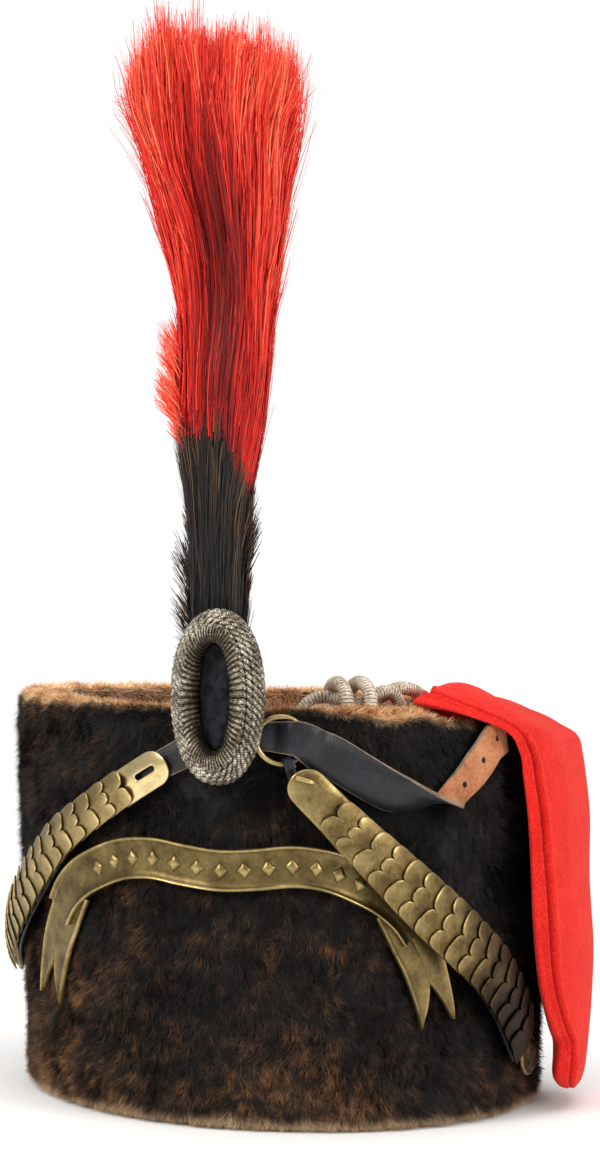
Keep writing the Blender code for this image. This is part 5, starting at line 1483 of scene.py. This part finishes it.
# Where on the long cord each turn of the knot stands, and its lean
CORD_TURNS = [(0.284, 0.08), (0.345, -0.05)]
RIB_PITCH = 0.00108
CORD_SIDES = 14


def cord_point(arc, inset, rise):
    """Points over the crown, from shares as in the cords' tables."""
    point = on_cap(np.asarray(arc) * QUARTER, CROWN_EDGE, -np.asarray(inset) * CORD_INSET)
    point[..., 2] = crown_height(point) + CORD_RADIUS + GAP + np.asarray(rise) * CORD_RISE
    return point


def cord_at(rows, arc):
    """The point of a cord's table at an arc."""
    arcs, insets, rises = zip(*rows)
    return cord_point(arc, np.interp(arc, arcs, insets), np.interp(arc, arcs, rises))


def wound_marks(at, sides, raised):
    """Marks of a wound cord: the length along it, the turn round it and how far a point is raised."""
    along, turn = np.broadcast_arrays(at[:, None], circle(sides)[None, :])
    return np.stack([along, turn, raised], axis=2)


def make_cord(name, line, closed=False):
    """A cord wound round with silver, so that slanting ribs run across it."""
    line, at = refined(line, RIB_PITCH / 5, closed)
    turn = circle(CORD_SIDES)
    total = at[-1] + (at[1] if closed else 0)
    pitch = total / round(total / RIB_PITCH)
    rib = np.abs(np.sin(math.pi * at[:, None] / pitch + turn[None, :] / 2))
    radius = CORD_RADIUS * (0.92 + 0.13 * rib**0.7)
    if not closed:
        # Its ends are drawn in and sewn down
        away = np.minimum(at, at[-1] - at)
        radius = radius * np.sqrt(np.clip(away / 0.0016, 0.15, 1.0))[:, None]
    cord = Bundle()
    cord.loft(tube(line, radius, CORD_SIDES, closed), closed=closed, marks=wound_marks(at, CORD_SIDES, rib))
    made = cord.piece(name, [PALE_WIRE], [name.replace("silver_", "")], "silver_cord", smooth=75)


def make_cap_cord():
    """Two cords side by side, and the knot's two turns round both."""
    for name, rows in (("silver_cap_cord_long", LONG_CORD), ("silver_cap_cord_short", SHORT_CORD)):
        arc, inset, rise = smooth_line(rows, 400).T
        make_cord(name, cord_point(arc, inset, rise))
    turn = circle(90)
    for number, (arc, lean) in enumerate(CORD_TURNS, 1):
        one, two = cord_at(LONG_CORD, arc), cord_at(SHORT_CORD, arc)
        out = (one - two) * (1, 1, 0)
        out /= np.linalg.norm(out)
        along = np.array([-out[1], out[0], 0.0])
        up = TURN_HALF_HEIGHT * np.sin(turn)[:, None]
        loop = (one + two) / 2 + out * TURN_HALF_WIDTH * np.cos(turn)[:, None] + along * lean * up
        loop[:, 2:] += up
        make_cord(f"silver_cap_cord_turn_{number}", loop, closed=True)


make_cap_cord()


# Field badge

BADGE_HALF_WIDTH = 0.0158
BADGE_HALF_HEIGHT = 0.029
BADGE_ABOVE_RIM = 0.0037
BADGE_ASIDE = 0.0015
BADGE_LIFT = 0.0048
BADGE_RING_WIDTH = 0.011
BADGE_RING_DEPTH = 0.0125
BADGE_BACK = 0.0012
BADGE_START = BADGE_BACK + GAP
BADGE_POINTS = 120
BADGE_ROUNDNESS = 0.92
PADDING_INSET = 0.0016
FIELD_RISE = 0.0036
# The padded ring's section: share of its width from the outside, share of its depth
BADGE_SECTION = [(0.07, 0), (0, 0.26), (0.05, 0.55), (0.22, 0.82), (0.46, 0.98), (0.72, 1),
                 (0.90, 0.84), (0.99, 0.55), (1, 0.25), (1, 0)]
# The velvet's, from its edge: shares of FIELD_RISE inward and forward
FIELD_SECTION = [(0, 0), (0, 0.45), (0.06, 0.66), (0.22, 0.83), (0.45, 0.95), (0.72, 1), (0.95, 1),
                 (1.15, 0.98)]
ROPE_RADIUS = 0.0013
ROPE_PLY = 0.00068
ROPE_OFFSET = 0.00062
ROPE_PITCH = 0.0048
ROPE_ROWS = 6
ROPE_SHARE = 0.64
ROPE_SHIFT = 1.1
PLY_SIDES = 6
BAND_POINTS = 560
BAND_TURNS = 35
BAND_PROUD = 0.00055
HOLE_ASIDE = 0.0011
HOLE_WIDER = 0.0010
FRONT = np.array([0.0, -1.0, 0.0])


def oval(inset, depth, turn):
    """Points of the badge's oval, drawn in by inset, at a depth in front of its back."""
    height = HAT_HEIGHT + BADGE_ABOVE_RIM
    back = max(half_depth(height), half_depth(height - BADGE_HALF_HEIGHT)) + BADGE_LIFT
    lean = math.atan2(-RIM_SKEW, HAT_HEIGHT)
    up = np.array([-math.sin(lean), 0, math.cos(lean)])
    right = np.array([math.cos(lean), 0, math.sin(lean)])
    middle = AXIS + (RIM_SKEW * height / HAT_HEIGHT + BADGE_ASIDE, -back, height)
    inset, depth, turn = np.broadcast_arrays(inset, depth, turn)
    across, high = np.cos(turn), np.sin(turn)
    inner = step_up(inset, 0.2 * BADGE_RING_WIDTH, BADGE_RING_WIDTH)
    wide = BADGE_HALF_WIDTH - inset + inner * HOLE_WIDER
    across = np.sign(across) * np.abs(across) ** BADGE_ROUNDNESS * wide - inner * HOLE_ASIDE
    high = np.sign(high) * np.abs(high) ** BADGE_ROUNDNESS * (BADGE_HALF_HEIGHT - inset)
    return middle + right * across[..., None] + up * high[..., None] + FRONT * depth[..., None]


def put_rope(badge, curve, at, shift):
    """One row of two-ply twisted cord round the badge, at a length along its section."""
    steps = lengths_along(curve)
    inset, depth = (float(np.interp(at, steps, curve[:, k])) for k in (0, 1))
    before, after = (np.array([np.interp(place, steps, curve[:, k]) for k in (0, 1)])
                     for place in (at - 0.0004, at + 0.0004))
    ahead = (after - before) / np.linalg.norm(after - before)
    inset, depth = inset + ahead[1] * ROPE_RADIUS, depth - ahead[0] * ROPE_RADIUS
    path = oval(inset, BADGE_START + max(depth, ROPE_RADIUS), circle(BADGE_POINTS))
    path, along = refined(path, ROPE_PITCH / 10, closed=True)
    total = along[-1] + along[1]
    twists = round(total / ROPE_PITCH)
    way, _, _ = frames_along(path, closed=True)
    outward = np.cross(way, FRONT)
    outward /= np.linalg.norm(outward, axis=1)[:, None]
    for ply in (0, 1):
        phase = 2 * math.pi * twists * along / total + math.pi * ply + shift
        line = path + ROPE_OFFSET * (np.cos(phase)[:, None] * outward + np.sin(phase)[:, None] * FRONT)
        rings = tube(line, ROPE_PLY, PLY_SIDES, closed=True)
        raised = np.clip(((rings - path[:, None]) @ FRONT) / ROPE_RADIUS * 0.5 + 0.5, 0, 1)
        badge.loft(rings, closed=True, marks=wound_marks(along, PLY_SIDES, raised))


def put_band(badge, curve, crest):
    """The cord wound straight across the badge's inner side, in ridges."""
    turn = circle(BAND_POINTS)
    ridge = np.abs(np.sin(BAND_TURNS * turn))
    rings, marks = [], []
    for k in range(crest - 3, len(curve), 3):
        inset, depth = curve[k]
        proud = BAND_PROUD * ridge ** 0.6 * min(1.0, (k - crest + 5) / 5)
        pulled = inset + proud * 0.6 * (inset > 0.9 * BADGE_RING_WIDTH)
        rings.append(oval(pulled, BADGE_START + depth - 0.0003 + proud, turn))
        marks.append(np.stack([turn * 0.02, 0 * turn, 0.9 * ridge - 0.15], axis=1))
    rings.append(oval(BADGE_RING_WIDTH * 0.6, BADGE_START + 0.002, turn))
    marks.append(np.zeros((BAND_POINTS, 3)))
    badge.loft(rings, closed=True, marks=marks)


def make_badge():
    """The field badge: rows of twisted silver cord over padding, and an inner band wound across."""
    turn = circle(BADGE_POINTS)
    curve = smooth_line([(a * BADGE_RING_WIDTH, b * BADGE_RING_DEPTH) for a, b in BADGE_SECTION], 60)
    badge = Bundle()
    padding = []
    for inset, depth in curve[::4]:
        drawn_in = inset + PADDING_INSET * (1 - 2 * inset / BADGE_RING_WIDTH)
        padding.append(oval(drawn_in, BADGE_START + max(depth - PADDING_INSET, 0), turn))
    badge.loft(padding, closed=True)
    crest = int(np.argmin(np.abs(curve[:, 0] - ROPE_SHARE * BADGE_RING_WIDTH)))
    for row in range(ROPE_ROWS):
        put_rope(badge, curve, lengths_along(curve)[crest] * (row + 0.5) / ROPE_ROWS, row * ROPE_SHIFT)
    put_band(badge, curve, crest)
    badge.piece("silver_badge_rope", [SILVER_WIRE], ["badge_ring"], "silver_cord", smooth=75)


def make_velvet():
    """The badge's velvet middle, domed over padding."""
    turn = circle(BADGE_POINTS)
    edge = BADGE_RING_WIDTH + GAP
    nap = 0.00012 * np.sin(17 * turn) * np.sin(5 * turn + 1)
    velvet = Bundle()
    velvet.loft([oval(edge + a * FIELD_RISE, BADGE_START + b * FIELD_RISE + nap * b, turn)
                 for a, b in FIELD_SECTION])
    velvet.piece("velvet_field", [VELVET], ["badge_field"], "black_velvet", smooth=80)


make_badge()
make_velvet()


# Plume

PLUME_LENGTH = 0.230
PLUME_HALF_WIDTH = 0.028
PLUME_FLATNESS = 0.82
PLUME_LEAN = -0.0515
PLUME_ASIDE = -0.0025
BLACK_LENGTH = 0.081
PLUME_CLEARANCE = 0.0015
# Shares of its length with the share of its half width there, how far the hair sways to the wearer's left,
# and how full it is against that width
PLUME_OUTLINE = [(0, 0.24), (0.06, 0.31), (0.14, 0.36), (0.29, 0.36), (0.38, 0.48), (0.44, 0.57),
                 (0.51, 0.63), (0.58, 0.63), (0.65, 0.69), (0.72, 0.79), (0.80, 0.90), (0.87, 1),
                 (1, 1.04)]
PLUME_SWAY = [(0, 0), (0.29, 0.0014), (0.44, 0.0022), (0.53, 0.0040), (0.63, 0.0040), (0.71, 0.0028),
              (0.83, 0.0003), (1, -0.0010)]
PLUME_FULL = [(0, 1), (0.36, 1), (0.46, 0.95), (0.53, 0.88), (0.60, 0.98), (0.68, 1.06), (0.76, 1.05),
              (0.9, 0.98), (1, 0.97)]
PLUME_ROOT = HAT_HEIGHT + PLUME_CLEARANCE
PLUME_TOP = HAT_HEIGHT + PLUME_LENGTH
CHANGE = HAT_HEIGHT + BLACK_LENGTH
LOCKS = 180
POINTS = 700
HAIR_WIDTH = 0.00034
BLACK_TUFT_WIDTH = 0.00038
# Tufts that splay from the sides: height, direction in degrees, reach and rise in metres, and hairs
RED_TUFTS = [(0.233, 187, 0.0105, 0.014, 330), (0.246, 180, 0.0095, 0.016, 260),
             (0.226, 188, 0.007, 0.012, 160), (0.221, 184, 0.0045, 0.012, 80), (0.222, 4, 0.0045, 0.016, 60),
             (0.240, 0, 0.004, 0.018, 60), (0.300, 182, 0.0045, 0.022, 90), (0.322, 186, 0.006, 0.024, 130),
             (0.275, 184, 0.003, 0.02, 50), (0.262, -2, 0.003, 0.02, 40)]
BLACK_TUFTS = [(0.150, 188, 0.008, 0.008, 70), (0.162, 184, 0.008, 0.012, 70),
               (0.176, 178, 0.0072, 0.015, 70), (0.190, 182, 0.004, 0.014, 50),
               (0.172, 0, 0.0035, 0.015, 40), (0.182, 2, 0.006, 0.018, 60), (0.192, -4, 0.0045, 0.016, 50),
               (0.205, 6, 0.003, 0.012, 30)]


def plume_point(height, across, deep):
    """A point beside the plume's middle line, in metres to the side and back."""
    x = RIM_SKEW + PLUME_ASIDE + PLUME_LEAN * (height - HAT_HEIGHT)
    x = x + table_value(PLUME_SWAY, (height - HAT_HEIGHT) / PLUME_LENGTH)
    y = np.full_like(x, -(RIM_HALF_DEPTH - WALL / 2))
    return AXIS + np.stack([x + across, y + deep, height], axis=-1)


def plume_width(height):
    """Half of the plume's width at a height."""
    share = (height - HAT_HEIGHT) / PLUME_LENGTH
    return table_value(PLUME_OUTLINE, share) * table_value(PLUME_FULL, share) * PLUME_HALF_WIDTH


def hair_strips(line, facing, width, marks):
    """Flat strips along hairs' lines, turned to face a direction, and their marks."""
    way = np.gradient(line, axis=1)
    side = np.cross(way, facing[:, None])
    side /= np.maximum(np.linalg.norm(side, axis=2), 1e-9)[..., None]
    count, steps = line.shape[:2]
    points = np.stack([line - side * width[..., None] / 2, line + side * width[..., None] / 2], axis=2)
    base = (np.arange(count) * steps * 2)[:, None] + (np.arange(steps - 1) * 2)[None, :]
    faces = np.stack([base, base + 1, base + 3, base + 2], axis=-1).reshape(-1, 4).tolist()
    return points.reshape(-1, 3), faces, np.repeat(marks[:, :, None], 2, axis=2).reshape(-1, 3)


def in_disc(rng, count, power):
    """Random places in a disc of radius 1, closer to its edge the lower the power."""
    turn = rng.uniform(0, 2 * math.pi, count)
    out = rng.uniform(0, 1, count) ** power
    return turn, np.cos(turn) * out, np.sin(turn) * out


def nearest_to(x, y, at_x, at_y):
    """The number of the lock or point that each hair belongs to."""
    return np.argmin((x[:, None] - at_x) ** 2 + (y[:, None] - at_y) ** 2, axis=1)


def make_hair(count, first, last, short, steps, seed, tips=None):
    """A tied bunch of hair between two heights, functions of the place across. A share of it is short, in
    layers. With tips, which gives its uneven end, it parts in front and ends in points."""
    rng = np.random.default_rng(seed)
    lock_turn = rng.uniform(0, 2 * math.pi, LOCKS)
    lock_out = 0.2 + 0.8 * np.sqrt(rng.uniform(0, 1, LOCKS))
    lock_tone = rng.uniform(0, 1, LOCKS)
    lock_lean = rng.normal(0, 0.05, LOCKS)
    turn, x, y = in_disc(rng, count, 0.34)
    lx, ly = np.cos(lock_turn) * lock_out, np.sin(lock_turn) * lock_out
    lock = nearest_to(x, y, lx, ly)
    # Near their tips the hairs cling in points, each of about twenty hairs and its own length
    _, tx, ty = in_disc(rng, POINTS, 0.4)
    point = nearest_to(x, y, tx, ty)
    point_length = rng.normal(0, 1, POINTS)[point]
    layered = rng.uniform(0, 1, count) < short
    low, high = first(x), last(x)
    begins = np.where(layered, rng.uniform(0.0, 0.80, count), 0.12 * rng.uniform(0, 1, count) ** 2)
    start = low + (high - low) * begins + rng.normal(0, 0.0012, count)
    length = (high - low) * rng.uniform(0.12, 0.36, count)
    ragged = tips(x, lock, rng) + 0.0030 * point_length if tips else rng.normal(0, 0.003, count)
    end = np.where(layered, np.minimum(start + length, high + ragged), high + ragged)
    share = np.linspace(0, 1, steps)[None, :]
    height = start[:, None] + (end - start)[:, None] * share
    whole = (height - low[:, None]) / (high - low)[:, None]
    # Hairs draw in to the middle of their lock, and at the top to their point
    drawn = 0.20 * step_up(whole, 0.1, 0.9)
    cling = 0.7 * step_up(whole, 0.72, 1.0) if tips else 0.0
    px = x[:, None] + (lx[lock] - x)[:, None] * drawn
    py = y[:, None] + (ly[lock] - y)[:, None] * drawn
    middle_x = tx[point] + (lx[lock] - tx[point]) * 0.28
    middle_y = ty[point] + (ly[lock] - ty[point]) * 0.28
    px, py = px + (middle_x[:, None] - px) * cling, py + (middle_y[:, None] - py) * cling
    outward = np.clip(np.abs(rng.normal(0.0, 0.075, count)), 0, 0.17)
    flare = np.where(layered, outward, rng.normal(0, 0.02, count))[:, None] * share**1.6
    stray = np.where(layered, 0.13, 0.055) * np.clip(rng.normal(0, 1, count), -1.7, 1.7)
    wave = 0.035 * np.sin(whole * 9 + lock_turn[lock][:, None])
    wave = wave + 0.025 * np.sin(whole * 17 + turn[:, None] * 3)
    lean = (lock_lean[lock][:, None] + stray[:, None] * share) * step_up(whole, 0.0, 1.0)
    # The front parts a little below the middle, and the hair in that hollow is painted darker, as shade
    hollow = (hump(x, 0.02, 0.28) + 0.6 * hump(x, 0.48, 0.13)) * step_up(-y, 0.2, 0.9)
    sunk = hollow[:, None] * hump(whole, 0.45, 0.22) if tips else 0 * whole
    wide = plume_width(height)
    across = (px * (1 + flare) + lean + wave) * wide
    deep = (py * (1 + flare - 0.35 * sunk) + 0.6 * wave) * wide * PLUME_FLATNESS
    line = plume_point(height, across, deep)
    facing = np.stack([x, y / PLUME_FLATNESS, 0 * x], axis=1) + rng.normal(0, 0.5, (count, 3)) * (1, 1, 0)
    taper = HAIR_WIDTH * rng.uniform(0.6, 1.3, count)[:, None] * (1 - 0.55 * share**3)
    marks = np.zeros((count, steps, 3))
    # Each hair's random tone, with a painted highlight at the plume's sides and painted shade in the front
    # hollow; its height in the bunch, painted lighter towards the top; and its lock's random tone
    marks[:, :, 0] = rng.uniform(0, 0.8, count)[:, None] ** 1.3 + 0.25 * np.abs(x[:, None]) ** 2 - 0.6 * sunk
    marks[:, :, 1] = whole
    marks[:, :, 2] = 0.2 + 0.45 * lock_tone[lock][:, None]
    hair = Bundle()
    hair.put(*hair_strips(line, facing, taper, marks))
    put_core(hair, first, last, bool(tips))
    return hair, rng


def put_core(hair, first, last, parted):
    """The dense, fluted hair inside, so that nothing shows through. The plume's top is domed and parted."""
    turn = circle(64)
    cos, sin = np.cos(turn), np.sin(turn)
    rings = []
    for share in np.linspace(0.0, 0.62 if parted else 1.0, 30):
        height = first(cos) * (1 - share) + last(cos) * share
        thin = (0.78 if parted else 0.84) * math.sqrt(max(0.02, 1 - (share / 0.63) ** 4 if parted else 1.0))
        ridge = thin * (1 + 0.07 * np.cos(17 * turn + 3 * share) + 0.05 * np.cos(29 * turn - 2 * share))
        sunk = hump(cos, 0, 0.33) * (sin < 0) * hump(share, 0.42, 0.20) * 0.35 if parted else 0.0
        wide = plume_width(height)
        rings.append(plume_point(height, ridge * cos * wide, (ridge - sunk) * sin * wide * PLUME_FLATNESS))
    # Its points are marked 0, so it takes the hair's darkest colour: painted shade of the hair inside
    hair.loft(rings)


def put_tufts(hair, rng, tufts, width):
    """Locks that splay up and out of the plume."""
    for height, degrees, reach, rise, count in tufts:
        spread = rng.normal(0, 0.22, count)
        turn = math.radians(degrees) + spread
        share = np.linspace(0, 1, 5)[None, :]
        go = reach * rng.uniform(0.45, 1.1, count)[:, None]
        up = rise * rng.uniform(0.6, 1.15, count)[:, None]
        z = height + rng.uniform(-0.005, 0.005, count)[:, None] + up * share
        r = 0.82 * plume_width(height) + go * share**1.25
        line = plume_point(z, np.cos(turn)[:, None] * r, np.sin(turn)[:, None] * r * PLUME_FLATNESS)
        facing = np.stack([0 * turn, 0 * turn - 1, 0 * turn], axis=1) + rng.normal(0, 0.5, (count, 3))
        taper = width * (1 - 0.6 * share**2) * np.ones((count, 1))
        marks = np.zeros((count, 5, 3))
        marks[:, :, 0] = rng.uniform(0.2, 0.8, count)[:, None]
        # Painted light: the tufts are lighter towards their tips
        marks[:, :, 1] = 0.5 + 0.4 * share
        marks[:, :, 2] = 0.6
        hair.put(*hair_strips(line, facing, taper, marks))


def colour_change(x):
    """Where black hair ends and red begins, lower at the wearer's left."""
    return CHANGE + 0.0105 - 0.020 * step_up(x, 0.15, 0.85)


def red_tips(x, lock, rng):
    """Uneven tips: a high middle with two dips, and lower at both sides."""
    uneven = 0.0022 * np.sin(9 * x + 0.4) + 0.0012 * np.sin(21 * x)
    dip = -0.011 * hump(x, 0.12, 0.07) - 0.012 * hump(x, 0.62, 0.07)
    side = -0.034 * np.clip(-x - 0.42, 0, 1) ** 1.25 - 0.040 * np.clip(x - 0.62, 0, 1) ** 1.2
    each = np.random.default_rng(77).normal(0, 0.0022, LOCKS)[lock]
    return uneven + dip + side + each - np.abs(rng.normal(0, 0.006, len(x))) - 0.0058


def make_plume():
    """Red hair above and black below, which overlap a little where the colour changes."""
    hair, rng = make_hair(14500, lambda x: colour_change(x) - 0.002, lambda x: 0 * x + PLUME_TOP,
                          short=0.66, steps=7, seed=61, tips=red_tips)
    put_tufts(hair, rng, RED_TUFTS, HAIR_WIDTH)
    hair.piece("red_horsehair", [RED_HAIR], ["plume_red"], "red_hair", smooth=180, turn_out=False)
    hair, rng = make_hair(6500, lambda x: 0 * x + PLUME_ROOT, lambda x: colour_change(x) + 0.001,
                          short=0.55, steps=6, seed=62)
    put_tufts(hair, rng, BLACK_TUFTS, BLACK_TUFT_WIDTH)
    hair.piece("black_horsehair", [BLACK_HAIR], ["plume_black"], "black_hair", smooth=180, turn_out=False)


make_plume()

# The badge's back plate and the plume's stem keep their solids
for name in ("badge_back", "plume_stem"):
    nodes[name].data.materials.clear()
    nodes[name].data.materials.append(STEEL)


# Stage


# Place round the cap in degrees, height and distance in metres, size, power and colour
LAMPS = {"overhead": (0, 1.5, 0.0, 2.0, 19, "#FFFFFF"), "key": (-32, 0.75, 1.3, 0.35, 11, "#FFF8F0"),
         "side": (70, 0.5, 1.2, 0.5, 7, "#FFF6EE")}
LIT_POINT = Vector((0, 0, 0.15))
FLOOR_RADIUS = 0.8


def make_stage():
    """A round white floor and soft studio light."""
    shape = bmesh.new()
    bmesh.ops.create_circle(shape, cap_ends=True, segments=96, radius=FLOOR_RADIUS)
    mesh = bpy.data.meshes.new("floor")
    shape.to_mesh(mesh)
    shape.free()
    floor = show("floor", mesh)
    paper, _, shader = finish("matt_white_paper", Roughness=0.9)
    shader.inputs["Base Color"].default_value = linear("#FFFFFF")
    mesh.materials.append(paper)
    world = bpy.data.worlds.new("white_room")
    bpy.context.scene.world = world
    world.use_nodes = True
    tree = world.node_tree
    room = tree.nodes["Background"]
    room.inputs["Color"].default_value = (1, 1, 1, 1)
    # The backdrop is seen as white paper, and lights the cap at half that
    seen = add(tree, "LightPath").outputs["Is Camera Ray"]
    strength = add(tree, "MapRange", Value=seen, in3=0.5, in4=1.0).outputs["Result"]
    tree.links.new(strength, room.inputs["Strength"])
    for name, (azimuth, height, distance, size, power, colour) in LAMPS.items():
        lamp = bpy.data.lights.new(name, "AREA")
        lamp.size = size
        lamp.energy = power
        lamp.color = linear(colour)[:3]
        made = show(name, lamp)
        turn = math.radians(azimuth)
        made.location = (math.sin(turn) * distance, -math.cos(turn) * distance, height)
        made.rotation_euler = (LIT_POINT - made.location).to_track_quat("-Z", "Y").to_euler()


make_stage()
bpy.context.scene.view_settings.view_transform = "Standard"
